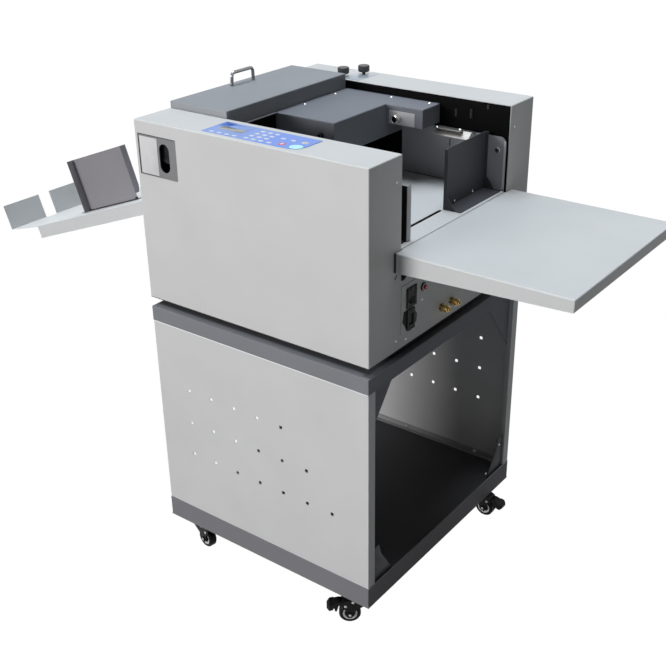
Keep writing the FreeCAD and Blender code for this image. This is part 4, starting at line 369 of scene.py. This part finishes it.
def head_tree():
    """Grows a ball that is flattened to a domed head, with its middle sunk as a socket."""
    tree, given, result = new_growth("screw_heads", (
        ("Head radius", "Float"), ("Head height", "Float"), ("Socket radius", "Float")))
    new = tree.nodes.new
    radius, height = given.outputs["Head radius"], given.outputs["Head height"]
    ball = new("GeometryNodeMeshUVSphere")
    ball.inputs["Segments"].default_value = 16
    ball.inputs["Rings"].default_value = 14
    link(tree, radius, ball.inputs["Radius"])
    where, parts = new("GeometryNodeInputPosition"), new("ShaderNodeSeparateXYZ")
    link(tree, where.outputs[0], parts.inputs[0])
    x, y, z = parts.outputs
    share = calculate(tree, "MAXIMUM", calculate(tree, "DIVIDE", z, radius), 0.0)
    dome = calculate(tree, "MULTIPLY", calculate(tree, "POWER", share, DOME_POWER), height)
    reach = calculate(tree, "SQRT", calculate(tree, "ADD", calculate(tree, "POWER", x, 2.0),
                                              calculate(tree, "POWER", y, 2.0)))
    sunk = calculate(tree, "MULTIPLY",
                     calculate(tree, "LESS_THAN", reach, given.outputs["Socket radius"]),
                     calculate(tree, "MULTIPLY", height, SOCKET_DEPTH))
    above = calculate(tree, "GREATER_THAN", z, 0.0)
    flat = new("ShaderNodeCombineXYZ")
    link(tree, x, flat.inputs["X"])
    link(tree, y, flat.inputs["Y"])
    link(tree, calculate(tree, "SUBTRACT", dome, calculate(tree, "MULTIPLY", sunk, above)),
         flat.inputs["Z"])
    shape = new("GeometryNodeSetPosition")
    link(tree, ball.outputs["Mesh"], shape.inputs["Geometry"])
    link(tree, flat.outputs[0], shape.inputs["Position"])
    facing = new("GeometryNodeInputNamedAttribute")
    facing.data_type = "FLOAT_VECTOR"
    facing.inputs["Name"].default_value = "facing"
    aim = new("FunctionNodeAlignRotationToVector")
    aim.axis = "Z"
    link(tree, facing.outputs["Attribute"], aim.inputs["Vector"])
    put = put_copies(tree, given, result, shape.outputs["Geometry"])
    link(tree, aim.outputs["Rotation"], put.inputs["Rotation"])
    return tree


def grow(name, tree, spots, body, sizes):
    """Runs a tree on spots (place, facing) and keeps the result as one plain mesh."""
    seed = bpy.data.meshes.new(name)
    seed.from_pydata([tuple(place) for place, facing in spots], [], [])
    seed.attributes.new("facing", "FLOAT_VECTOR", "POINT")
    seed.attributes["facing"].data.foreach_set(
        "vector", [c for place, facing in spots for c in facing])
    made = bpy.data.objects.new(name, seed)
    bpy.context.scene.collection.objects.link(made)
    growth = made.modifiers.new("growth", "NODES")
    growth.node_group = tree
    for item in tree.interface.items_tree:
        if item.in_out == "INPUT" and item.name in sizes:
            growth[item.identifier] = sizes[item.name]
    view = bpy.context.evaluated_depsgraph_get()
    mesh = bpy.data.meshes.new_from_object(made.evaluated_get(view), depsgraph=view)
    made.modifiers.clear()
    made.data = mesh
    mesh.shade_smooth()
    mesh.set_sharp_from_angle(angle=math.radians(38))
    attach(made, body)


screw_heads = head_tree()


def screws(name, spots, body, radius, height, socket, material):
    """Screw heads on spots; their radius, height and socket radius are in metres."""
    grow(name, screw_heads, spots, body, {
        "Head radius": radius, "Head height": height, "Socket radius": socket,
        "Finish": material})


zinc = smooth_finish("bright_zinc", (0.62, 0.63, 0.65), (0.78, 0.78, 0.78),
                     0.25, 0.5, 1.0, 400)
dull_zinc = smooth_finish("dull_zinc", (0.26, 0.265, 0.27), (0.42, 0.42, 0.42),
                          0.38, 0.5, 1.0, 500)
black_oxide = smooth_finish("black_oxide", (0.02, 0.02, 0.02), (0.05, 0.05, 0.052),
                            0.4, 0.5, 0.6, 500)
end_spots = [(at(HOUSING_END, y, z), RIGHT) for y, z in (
    (91.7, 1030), (556.8, 1031), (328.6, 682.5), (191.5, 750), (131, 682), (94, 692),
    (480, 700), (520, 830))]
bracket_spots = [(at(BRACKET_X + 0.1, y, z), RIGHT) for y, z in ((572.8, 196.5), (508.5, 143))]
back_spots = [(at(x, HOUSING_BACK, z), BACK)
              for x, z in ((450, 1040), (150, 1040), (150, 720), (450, 720))]
screws("machine_screws", end_spots + bracket_spots + back_spots, "machine",
       0.0030, 0.0015, 0.0013, dull_zinc)
screws("strip_screws", [(at(316, 609, 124.8), FRONT), (at(529.7, 609, 124.5), FRONT)],
       "machine", 0.0048, 0.0026, 0.002, dull_zinc)
screws("backstop_screws", [(at(562.2, 475, 894.4), RIGHT), (at(562.2, 397, 895.4), RIGHT)],
       "stack_stop", 0.0030, 0.0015, 0.0013, dull_zinc)

# ---------------------------------------------------------------- castors
# Twin-cheek swivel castors in black nylon on pressed races, two with a toe brake.
# Each wheel has a bright trim ring, and bright rivets hold the cheeks.
AXLE_TRAIL, AXLE_HEIGHT = 0.027, 0.025
HUB_FACE, CHEEK_FACE = 0.0166, 0.0145
CHEEK_RIVETS = ((0.020, 0.060), (0.037, 0.049))
TRIM_PROFILE = [(0.0120, 0.0066), (0.0124, 0.0086), (0.0140, 0.0094), (0.0168, 0.0094),
                (0.0176, 0.0086), (0.0180, 0.0068), (0.0120, 0.0066)]
black_nylon, nylon_tree, nylon_shader = finish("black_nylon", 0.34, 0.09)
link(nylon_tree, ramp(nylon_tree, speckle(nylon_tree, 60), (0.006, 0.006, 0.007),
                      (0.012, 0.012, 0.013)), nylon_shader.inputs["Base Color"])
nylon_grain = speckle(nylon_tree, 700, 2)
link(nylon_tree, spread(nylon_tree, nylon_grain, 0.28, 0.42), nylon_shader.inputs["Roughness"])
texture_bump(nylon_tree, nylon_grain, nylon_shader, 0.05, 0.0003)
tread_rubber = powder_coat("tread_rubber", (0.010, 0.010, 0.011), 0.42, 0.07, 600, 0.08)
trim_ring = smooth_finish("trim_ring", (0.50, 0.50, 0.50), (0.62, 0.62, 0.61),
                          0.42, 0.3, 0.25, 300)


def lathe(bm, profile, stand, steps=48):
    """Adds a turned shape from (radius, height) pairs that go round the solid once."""
    rings = []
    for radius, height in profile:
        if radius < 1e-7:
            rings.append([bm.verts.new(stand @ Vector((0, 0, height)))])
            continue
        angles = [2 * math.pi * k / steps for k in range(steps)]
        rings.append([bm.verts.new(stand @ Vector((radius * math.cos(angle),
                                                   radius * math.sin(angle), height)))
                      for angle in angles])
    for low, high in zip(rings, rings[1:]):
        for k in range(steps):
            n = (k + 1) % steps
            ring = [low[0]] if len(low) == 1 else [low[k], low[n]]
            ring += [high[0]] if len(high) == 1 else [high[n], high[k]]
            bm.faces.new(ring)


def pointing(place, direction):
    """The matrix that stands a turned shape at a place, its height along a direction."""
    turned_up = Vector(direction).to_track_quat("Z", "Y").to_matrix().to_4x4()
    return Matrix.Translation(place) @ turned_up


def turned(name, profile, stands, material, body, steps=48, smooth=32):
    """A piece of equal turned shapes, one on each stand."""
    bm = bmesh.new()
    for stand in stands:
        lathe(bm, profile, stand, steps)
    bmesh.ops.remove_doubles(bm, verts=bm.verts, dist=1e-6)
    make_piece(name, bm, material, body, smooth)


for corner, (x, y, angle, braked) in {
        "front_right": (582.7, 16.5, 218, True), "rear_right": (582.7, 535.5, 0, True),
        "front_left": (82.7, 16.5, 350, False), "rear_left": (82.7, 535.5, 150, False)}.items():
    swivel = math.radians(angle)
    trail = Vector((math.cos(swivel), math.sin(swivel), 0))
    side = Vector((-math.sin(swivel), math.cos(swivel), 0))
    centre = at(x, y, 0)
    axle = centre + trail * AXLE_TRAIL + Vector((0, 0, AXLE_HEIGHT))
    dress(black_nylon, "castor_fork_" + corner)
    dress(tread_rubber, "castor_wheel_" + corner)
    turned("castor_trim_" + corner, TRIM_PROFILE, [pointing(axle, way) for way in (side, -side)],
           trim_ring, "wheel_" + corner)
    rivets = []
    for way in (side, -side):
        rivets.append((axle + way * HUB_FACE, tuple(way)))
        for out, up in CHEEK_RIVETS:
            rivets.append((centre + trail * out + way * CHEEK_FACE + Vector((0, 0, up)),
                           tuple(way)))
    screws("castor_rivets_" + corner, rivets, "fork_" + corner,
           0.0034, 0.0012, 0.0, trim_ring)
    if braked:
        dress(black_nylon, "castor_pedal_" + corner)

# ---------------------------------------------------------------- housings and throat
# Two folded steel housings in light powder coat stand on the base pan, with an end
# panel on each side of the throat between them and black side frames inside.
housing_coat = powder_coat("housing_coat", (0.615, 0.612, 0.608), 0.50, 0.15)
inner_black = powder_coat("inner_black_coat", (0.006, 0.006, 0.0065), 0.60, 0.02, FINE_GRAIN)
# Black rubber; the same coat also makes a strip of painted shadow at the infeed tray's root.
black_rubber_and_painted_shadow = powder_coat("black_rubber_and_painted_shadow", (0.018, 0.018, 0.018), 0.7, 0.3, 500)
dress(housing_coat, "front_housing", "rear_housing", "infeed_end_panel", "output_end_panel")
dress(inner_black, "front_side_frame", "rear_side_frame", "cross_wall", "base_pan")
dress(black_rubber_and_painted_shadow, "rubber_feet")

# A slanted hand slot is punched in the front housing's right end; its dark bottom is
# the side frame behind it.
SLOT_SLANT = math.radians(46)
SLOT_HALF, SLOT_END, SLOT_STEPS = 0.0044, 0.0016, 24
slot_axis = Vector((0, math.cos(SLOT_SLANT), math.sin(SLOT_SLANT)))
slot_side = Vector((0, -slot_axis.z, slot_axis.y))
oval = []
for k in range(SLOT_STEPS):
    t = 2 * math.pi * k / SLOT_STEPS
    half = SLOT_HALF if math.sin(t) > 0 else -SLOT_HALF
    oval.append(at(HOUSING_END + 0.1, 92, 834.5) + slot_axis * (half + SLOT_END * math.sin(t))
                + slot_side * (SLOT_END * math.cos(t)))
bm = bmesh.new()
plate(bm, list(reversed(oval)), 0.0002, 0.00005)
make_piece("slanted_slot", bm, inner_black, "machine")

# ---------------------------------------------------------------- top cover
# The grey hinged lid over the creasing unit is one folded shell with a bent chrome
# wire handle through its top.
lid_coat = powder_coat("lid_coat", (0.292, 0.302, 0.322), 0.48, 0.06, FINE_GRAIN)
dress(lid_coat, "top_cover")
chrome, chrome_tree, chrome_shader = finish("handle_chrome", 0.14, 0.5, 1.0)
chrome_wear = speckle(chrome_tree, 240, 3)
link(chrome_tree, ramp(chrome_tree, chrome_wear, (0.22, 0.225, 0.24), (0.30, 0.31, 0.32)),
     chrome_shader.inputs["Base Color"])
link(chrome_tree, spread(chrome_tree, chrome_wear, 0.1, 0.2), chrome_shader.inputs["Roughness"])
dress(chrome, "cover_handle")

# ---------------------------------------------------------------- feed head
# A dark L-shaped hood over the suction drum, held by four bright screws. A knob in a
# chrome sleeve sets the blown air, and a bare light plate sits behind it.
HOOD_TOP = 1062
ARM_FRONT = 464.6
head_coat = powder_coat("head_coat", (0.212, 0.222, 0.250), 0.48, 0.05, FINE_GRAIN)
scale_coat = powder_coat("scale_plate_coat", (0.56, 0.565, 0.59), 0.45, 0.2, FINE_GRAIN, 0.05)
knob_black, knob_tree, knob_shader = finish("knob_black", 0.4, 0.5)
knob_grain = speckle(knob_tree, 900, 2)
link(knob_tree, ramp(knob_tree, knob_grain, (0.024, 0.025, 0.027), (0.05, 0.05, 0.054)),
     knob_shader.inputs["Base Color"])
texture_bump(knob_tree, knob_grain, knob_shader, 0.1, 0.0003)
sleeve_chrome = smooth_finish("sleeve_chrome", (0.60, 0.58, 0.55), (0.72, 0.70, 0.67),
                              0.2, 0.5, 0.85)
dress(head_coat, "feed_head_cover")
dress(knob_black, "left_air_knob", "right_air_knob")
dress(black_nylon, "head_air_knob", "head_side_knob", "handwheel")
turned("head_knob_sleeve",
       [(0.0096, 0.0), (0.0106, 0.0), (0.0106, 0.0128), (0.0100, 0.0145), (0.0084, 0.0152),
        (0.0070, 0.0150), (0.0066, 0.0143), (0.0096, 0.0143), (0.0096, 0.0)],
       [pointing(at(365, 464.8, 1033), FRONT)], sleeve_chrome, "machine")
screws("hood_screws", [(at(x, y, HOOD_TOP), TOP)
                       for x, y in ((182, 358), (182, 474), (309, 523), (413, 524))],
       "machine", 0.0036, 0.0026, 0.0014, zinc)

# A grey rail runs from the front housing along the hood's left edge.
bm = bmesh.new()
bar(bm, at(169, 111, 1060.4), at(174, 268, 1062.2), 0.0003)
bar(bm, at(170.4, 268, 1061.6), at(172.6, 536, 1062.4), 0.0002)
make_piece("head_rail", bm, lid_coat, "machine")

# Three black studs stand on the rear side frame over the nozzle.
STUD_RADIUS, STUD_HALF = 0.0034, 0.0012
stud_stands = [Matrix.Translation(at(x, 536.4, (low + high) / 2))
               @ Matrix.Diagonal((1, 1, (high - low) / (2000 * STUD_HALF), 1))
               for x, low, high in ((476.8, 1039.5, 1055.4), (515.6, 1040.8, 1061),
                                    (557.6, 1067, 1076))]
turned("frame_studs", [(0.0, -STUD_HALF), (STUD_RADIUS, -STUD_HALF), (STUD_RADIUS, STUD_HALF),
                       (0.0, STUD_HALF)], stud_stands, black_rubber_and_painted_shadow, "machine", 24)


LINES_ACROSS, LINES_ALONG = 900, 12


def brushed(name, colour, along, roughness=0.32):
    """Drawn sheet metal with fine lines along one axis."""
    made, tree, shader = finish(name, roughness, 0.5, 1.0)
    pull = [LINES_ACROSS] * 3
    pull["xyz".index(along)] = LINES_ALONG
    lines = speckle(tree, 1, 4, pull)
    dark, light = [c * 0.82 for c in colour], [min(1, c * 1.1) for c in colour]
    link(tree, ramp(tree, lines, dark, light), shader.inputs["Base Color"])
    link(tree, spread(tree, lines, roughness - 0.07, roughness + 0.1),
         shader.inputs["Roughness"])
    texture_bump(tree, lines, shader, 0.06, 0.0002)
    return made


def sheet(name, corners, thickness, material, body, edge=0.0003):
    """A piece of one flat plate, from its corners in millimetres."""
    bm = bmesh.new()
    plate(bm, [at(*corner) for corner in corners], thickness, edge)
    make_piece(name, bm, material, body)


def upright(x0, z0, x1, z1, y):
    """The corners of an upright rectangle that faces the operator."""
    return [(x0, y, z0), (x1, y, z0), (x1, y, z1), (x0, y, z1)]


# The works inside are ground steel shafts and gears, and cast alloy housings.
steel_y = brushed("ground_steel", (0.55, 0.56, 0.58), "y")
alloy = brushed("cast_alloy", (0.45, 0.46, 0.47), "z", 0.45)
nozzle_steel = brushed("nozzle_steel", (0.50, 0.49, 0.47), "x", 0.36)
clamp_steel = brushed("clamp_steel", (0.24, 0.235, 0.22), "x", 0.45)
tyres = powder_coat("roller_tyres", (0.06, 0.06, 0.062), 0.6, 0.3, 500)
dress(nozzle_steel, "separator_nozzle")
dress(steel_y, "blade_holder", "crease_die", "cam_shaft", "outfeed_roller_lower",
      "infeed_roller_lower", "idler_gear", "motor_pinion")
dress(alloy, "suction_drum", "drive_motor", "vacuum_pump", "elevator_screw")
dress(tyres, "outfeed_roller_upper", "infeed_roller_upper")
sheet("arm_plate", upright(342, 1019, 410.6, 1050, ARM_FRONT), 0.0006,
      scale_coat, "machine")

# The nozzle is clamped under a dull plate by two screws.
CLAMP_TOP = 1014.6
bars("nozzle_clamp", [((437, 505.5, 1013), (506, 527, CLAMP_TOP))],
     clamp_steel, "machine", 0.0003)
screws("clamp_screws", [(at(443.5, 509.5, CLAMP_TOP), TOP), (at(498, 519, CLAMP_TOP), TOP)],
       "machine", 0.0042, 0.003, 0.0019, zinc)

# ---------------------------------------------------------------- rear housing's fittings
# Two knurled black air knobs turn on spindles through the rear housing's top. They
# stand on a bare, glossy plate that is glued to it.
def level(x0, y0, x1, y1, z):
    """The corners of a level rectangle."""
    return [(x0, y0, z), (x1, y0, z), (x1, y1, z), (x0, y1, z)]


gloss_plate = smooth_finish("glossy_plate", (0.38, 0.42, 0.48), (0.42, 0.46, 0.52),
                            0.05, 0.9, 0.0, 30)
sheet("air_scale_plate", level(115, 545, 200, 634, 1082.4), 0.0004,
      gloss_plate, "machine")

# ---------------------------------------------------------------- access plate
# A grey plate sunk in the front housing in front of the handwheel, with a bare white
# card on its left half. Dark strips along the recess's left and top edges are painted shadow;
# those along the card's left and lower edges are its dark border.
dark_border_and_shadow_coat = powder_coat("dark_border_and_shadow_coat", (0.085, 0.085, 0.087), 0.6, 0.1, 600)
plate_coat = powder_coat("access_plate_coat", (0.20, 0.20, 0.205), 0.5, 0.3, FINE_GRAIN)
black_mould = smooth_finish("black_moulding", (0.012, 0.012, 0.013), (0.024, 0.024, 0.026),
                            0.48, 0.06, 0.0, 500)
card = smooth_finish("bare_card", (0.61, 0.60, 0.61), (0.66, 0.645, 0.66), 0.6, 0.3, 0.0, 40)
dress(plate_coat, "access_plate")
sheet("access_card", upright(12, 966, 64.5, 1048, 0.25), 0.0002,
      card, "machine", 0.0001)
bars("access_border_and_painted_shadow",
     [((x0, -0.15, z0), (x1, 0.4, z1)) for x0, z0, x1, z1 in (
         (8.1, 963.2, 10.0, 1053.3), (10.0, 1051.4, 120.4, 1053.3), (10.9, 964.7, 65, 965.9),
         (10.9, 965.9, 12.0, 1048.4))],
     dark_border_and_shadow_coat, "machine", 0.0001)

# The handwheel's face is a dished black cap with a raised rim.
turned("handwheel_cap",
       [(0.0, 0.0006), (0.0075, 0.0006), (0.0095, -0.0006), (0.0190, -0.0006), (0.0225, 0.0008),
        (0.0252, 0.0002), (0.0252, -0.0010), (0.0, -0.0010)],
       [pointing(at(84.5, 10.9, 1019), FRONT)], black_mould, "crank", 72)

# ---------------------------------------------------------------- control panel
# A blue membrane keypad with a grey display. Its keys are low bare pads, with a red
# ringed stop key and a large pale start key. A patch of film closes the panel's own
# window, as the display lies nearer to the operator.
KEY_TOP = 1083.0
DISPLAY_TOP = 1083.35
PATCH_TOP = 1083.02


def box_share(tree, low, high):
    """1 inside a box in the part's frame, 0 outside it."""
    outward = tree.nodes.new("ShaderNodeTexCoord").outputs["Object"]
    for operation, amount in (("SUBTRACT", (low + high) / 2), ("ABSOLUTE", None),
                              ("SUBTRACT", (high - low) / 2)):
        step = tree.nodes.new("ShaderNodeVectorMath")
        step.operation = operation
        link(tree, outward, step.inputs[0])
        if amount is not None:
            step.inputs[1].default_value = amount
        outward = step.outputs[0]
    parts = tree.nodes.new("ShaderNodeSeparateXYZ")
    link(tree, outward, parts.inputs[0])
    x, y, z = parts.outputs
    furthest = calculate(tree, "MAXIMUM", calculate(tree, "MAXIMUM", x, y), z)
    return calculate(tree, "LESS_THAN", furthest, 0)


film, film_tree, film_shader = finish("blue_film", 0.28, 0.45)
film_print = ramp(film_tree, speckle(film_tree, 16), (0.145, 0.265, 0.66), (0.175, 0.305, 0.72))
for low, high, ink in ((at(330, 10, 1080), at(440, 95, 1086), (0.100, 0.235, 0.72)),
                       (at(188, 62, 1080), at(217, 93, 1086), (0.035, 0.125, 0.50))):
    film_print = blend(film_tree, box_share(film_tree, low, high), film_print, ink)
link(film_tree, film_print, film_shader.inputs["Base Color"])
texture_bump(film_tree, speckle(film_tree, 1500, 2), film_shader, 0.04, 0.0002)
dress(film, "control_panel")
display_glass = smooth_finish("display_window", (0.26, 0.28, 0.27), (0.30, 0.32, 0.31),
                              0.12, 0.5, 0.0, 90)
sheet("display_window", level(204, 41.5, 269, 62.2, DISPLAY_TOP), 0.0003,
      display_glass, "machine", 0.0001)
sheet("film_over_window", level(196.6, 57.6, 271.2, 85.2, PATCH_TOP), 0.0006,
      film, "machine", 0.0001)


def key_tree():
    """Grows a low pad of the key's size on every point."""
    tree, given, result = new_growth("panel_keys", (("Key size", "Vector"),))
    pad_shape = tree.nodes.new("GeometryNodeMeshUVSphere")
    pad_shape.inputs["Segments"].default_value = 24
    pad_shape.inputs["Rings"].default_value = 10
    pad_shape.inputs["Radius"].default_value = 0.5
    put = put_copies(tree, given, result, pad_shape.outputs["Mesh"])
    link(tree, given.outputs["Key size"], put.inputs["Scale"])
    return tree


panel_keys = key_tree()


def keys(name, places, size, material, lift=0):
    """Keys of one size on the panel, at (x, y) places in millimetres."""
    grow(name, panel_keys, [(at(x, y, KEY_TOP + lift), TOP) for x, y in places],
         "machine", {"Key size": size, "Finish": material})


white_key = smooth_finish("white_key", (0.56, 0.59, 0.67), (0.66, 0.69, 0.76))
wide_key = smooth_finish("wide_key", (0.52, 0.50, 0.44), (0.58, 0.56, 0.50))
red_key = smooth_finish("red_key", (0.55, 0.07, 0.12), (0.66, 0.10, 0.16))
start_key = smooth_finish("start_key", (0.42, 0.80, 0.92), (0.52, 0.88, 0.97))
row = [(x, 21) for x in (207.6, 228.4, 248.9, 268.6)]
pad = [(x, y) for y in (76, 58, 41, 23.5) for x in (298, 317.3, 336.6)] + [(357.5, 23.5)]
right = [(364.3, 60.4), (389.8, 60.4)]
keys("white_keys", row + pad + right, (0.0118, 0.0088, 0.0012), white_key)
keys("wide_key", [(419, 60.4)], (0.0165, 0.0135, 0.0012), wide_key)
keys("stop_key", [(385, 30)], (0.0165, 0.0165, 0.0014), red_key)
keys("stop_key_face", [(385, 30)], (0.0088, 0.0088, 0.0012), white_key, 0.35)
keys("start_key", [(420.5, 30.5)], (0.029, 0.027, 0.0016), start_key)

# ---------------------------------------------------------------- power panel and air fittings
# A stepped cover plate on the end panel carries the rocker switch, the red breaker
# and the mains inlet. Two brass spigots with black collars feed the air lines.
BEZEL_BACK, BEZEL_FACE = 615.5, 618.1
FLANGE_FACE = 616.1
SEAM_FACE, SEAM_HALF = 614.25, 0.5
FITTING_YS, FITTING_Z = (269, 310.4), 702
red_cap = smooth_finish("red_cap", (0.36, 0.02, 0.03), (0.46, 0.03, 0.04))
brass = brushed("turned_brass", (0.62, 0.44, 0.16), "y", 0.3)
dress(housing_coat, "power_panel")
dress(black_mould, "power_inlet", "rocker_switch")
dress(red_cap, "breaker_button")
dress(brass, "air_fittings")
bars("rocker_bezel",
     [((BEZEL_BACK, y0, z0), (BEZEL_FACE, y1, z1)) for y0, z0, y1, z1 in (
         (129, 751, 138.4, 796), (156.2, 751, 165.5, 796), (138.4, 751, 156.2, 758.3),
         (138.4, 784.7, 156.2, 796))],
     black_mould, "machine", 0.0005)
sheet("inlet_flange", [(FLANGE_FACE, y, z) for y, z in (
    (116, 726), (130.5, 704.5), (168, 709), (170.5, 727), (153, 745.5), (120.5, 748))],
      0.0008, black_mould, "machine")
bm = bmesh.new()
seam = [(197.5, 765.5), (177.2, 758.6), (177.2, 700.2), (113, 698.2)]
for (y0, z0), (y1, z1) in zip(seam, seam[1:]):
    along = Vector((y1 - y0, z1 - z0)).normalized()
    dy, dz = -along.y * SEAM_HALF, along.x * SEAM_HALF
    plate(bm, [at(SEAM_FACE, y0 + dy, z0 + dz), at(SEAM_FACE, y0 - dy, z0 - dz),
               at(SEAM_FACE, y1 - dy, z1 - dz), at(SEAM_FACE, y1 + dy, z1 + dz)],
          0.0002, 0.00005)
make_piece("power_panel_seam", bm, black_mould, "machine")
turned("breaker_collar",
       [(0.0062, 0.0), (0.0094, 0.0), (0.0094, 0.0030), (0.0086, 0.0040), (0.0062, 0.0040),
        (0.0062, 0.0)],
       [pointing(at(614.2, 192.6, 779), RIGHT)], black_mould, "machine")
turned("fitting_nuts",
       [(0.0061, 0.0), (0.0092, 0.0), (0.0092, 0.0048), (0.0086, 0.0054), (0.0061, 0.0054),
        (0.0061, 0.0)],
       [pointing(at(HOUSING_END, y, FITTING_Z), RIGHT) for y in FITTING_YS],
       black_mould, "machine", 6, 20)
turned("fitting_sleeves",
       [(0.0060, 0.0), (0.0076, 0.0), (0.0076, 0.0112), (0.0072, 0.0120), (0.0060, 0.0120),
        (0.0060, 0.0)],
       [pointing(at(619.6, y, FITTING_Z), RIGHT) for y in FITTING_YS],
       brass, "machine")

# ---------------------------------------------------------------- infeed table and guides
# The lifting table is a light folded tray. The backstop and the front guide are dark
# sheet parts that stand on it with magnets; the rear guide is fixed to the machine.
table_coat = powder_coat("table_coat", (0.63, 0.63, 0.635), 0.45, 0.2)
guide_coat = powder_coat("guide_coat", (0.072, 0.074, 0.084), 0.48, 0.14, FINE_GRAIN)
guide_black = powder_coat("front_guide_coat", (0.02, 0.02, 0.022), 0.5, 0.1, FINE_GRAIN)
guide_grey = powder_coat("guide_plate_coat", (0.38, 0.385, 0.40), 0.45, 0.2, FINE_GRAIN)
end_grey = powder_coat("guide_end_coat", (0.46, 0.46, 0.465), 0.45, 0.2)
dress(table_coat, "infeed_table")
dress(guide_coat, "infeed_backstop")
dress(guide_black, "front_side_guide")
dress(guide_grey, "rear_side_guide")

# The front guide's folded end carries a light strip, and the fixed rear guide ends in a
# light fold with one socket screw in a bright washer.
GUIDE_SCREW_X, GUIDE_SCREW_Z = 588, 979.9
bars("front_guide_end", [((600.1, 148.2, 889.6), (601.2, 162.8, 1004.6))],
     end_grey, "stack_guide")
bars("rear_guide_edge", [((603.6, 531.2, 893), (608.6, 532, 1003))],
     table_coat, "machine", 0.0002)
turned("rear_guide_washer",
       [(0.0034, 0.0), (0.0064, 0.0), (0.0064, 0.0009), (0.0060, 0.0013), (0.0034, 0.0013),
        (0.0034, 0.0)],
       [pointing(at(GUIDE_SCREW_X, 532, GUIDE_SCREW_Z), FRONT)], zinc, "machine")
screws("rear_guide_screw", [(at(GUIDE_SCREW_X, 530.8, GUIDE_SCREW_Z), FRONT)],
       "machine", 0.0046, 0.0028, 0.002, black_oxide)

# A light strip closes the slit between the table and the fixed tray. A black strip on
# the tray's root, over the bent tip of its hook, is painted shadow of the gap between the
# tray and the end panel.
bars("table_slit_strip", [((612.7, 114, 878), (614.95, 530, 887.2))],
     table_coat, "machine", 0.0003)
bars("tray_root_painted_shadow", [((614.2, 84.6, 847), (617.6, 87.2, 888.3))],
     black_rubber_and_painted_shadow, "machine", 0.0003)
sheet("tray_hook_tip", [(616.2, 110, 846), (616.2, 112, 820), (616.2, 134, 829),
                        (616.2, 140, 846)], 0.0015, inner_black, "machine", 0.0002)

# ---------------------------------------------------------------- trays
# The infeed extension and the sloping output tray are light folded sheet on black
# hooks. The side plate that stands along the output tray is a darker, warmer grey.
HOOK_BLACK = (0.02, 0.02, 0.022)
SLOPE = math.radians(20.3)
SLOPE_START_Z = 888
SIDE_PLATE_FRONT = 149.95


def painted_parts(name, base, low, high, colour):
    """A copy of a coat with another colour inside a box, for a part of the same node."""
    made = base.copy()
    made.name = name
    tree = made.node_tree
    shader = tree.nodes["Principled BSDF"]
    coat = shader.inputs["Base Color"].links[0].from_socket
    link(tree, blend(tree, box_share(tree, low, high), coat, colour),
         shader.inputs["Base Color"])
    return made


# The two trays have one paint: the infeed tray's coat is painted a little darker and the output
# tray's a little lighter, as painted shade and light.
infeed_coat = powder_coat("tray_coat", (0.575, 0.577, 0.578), 0.50, 0.3)
output_tray_lit_coat = powder_coat("output_tray_lit_coat", (0.60, 0.605, 0.61), 0.50, 0.3)
side_coat = powder_coat("side_plate_coat", (0.25, 0.24, 0.258), 0.50, 0.06, FINE_GRAIN)
dress(painted_parts("infeed_tray_coat", infeed_coat, at(600, 118, 780), at(655, 528, 885.7),
                    HOOK_BLACK), "infeed_tray")
dress(painted_parts("output_tray_coat", output_tray_lit_coat, at(-60, 118, 760), at(12, 528, 850),
                    HOOK_BLACK), "output_tray")
dress(side_coat, "output_backstop")


def on_slope(down, y, lift):
    """A point on the output tray, from its distance down the slope and height off it."""
    return at(-down * math.cos(SLOPE) - lift * math.sin(SLOPE), y,
              SLOPE_START_Z - down * math.sin(SLOPE) + lift * math.cos(SLOPE))


# A black strip is drawn along the side plate's foot and ends in a small block.
bm = bmesh.new()
for start, end, front, rise in ((188, 386, 149.2, 3.4), (184, 192, 147.4, 7.5)):
    outline = [on_slope(start, front, 0.6), on_slope(end, front, 0.6),
               on_slope(end, front, rise), on_slope(start, front, rise)]
    plate(bm, outline, (SIDE_PLATE_FRONT - front) / 1000, 0.0001)
make_piece("side_plate_foot_strip", bm, black_rubber_and_painted_shadow, "delivery_stop")
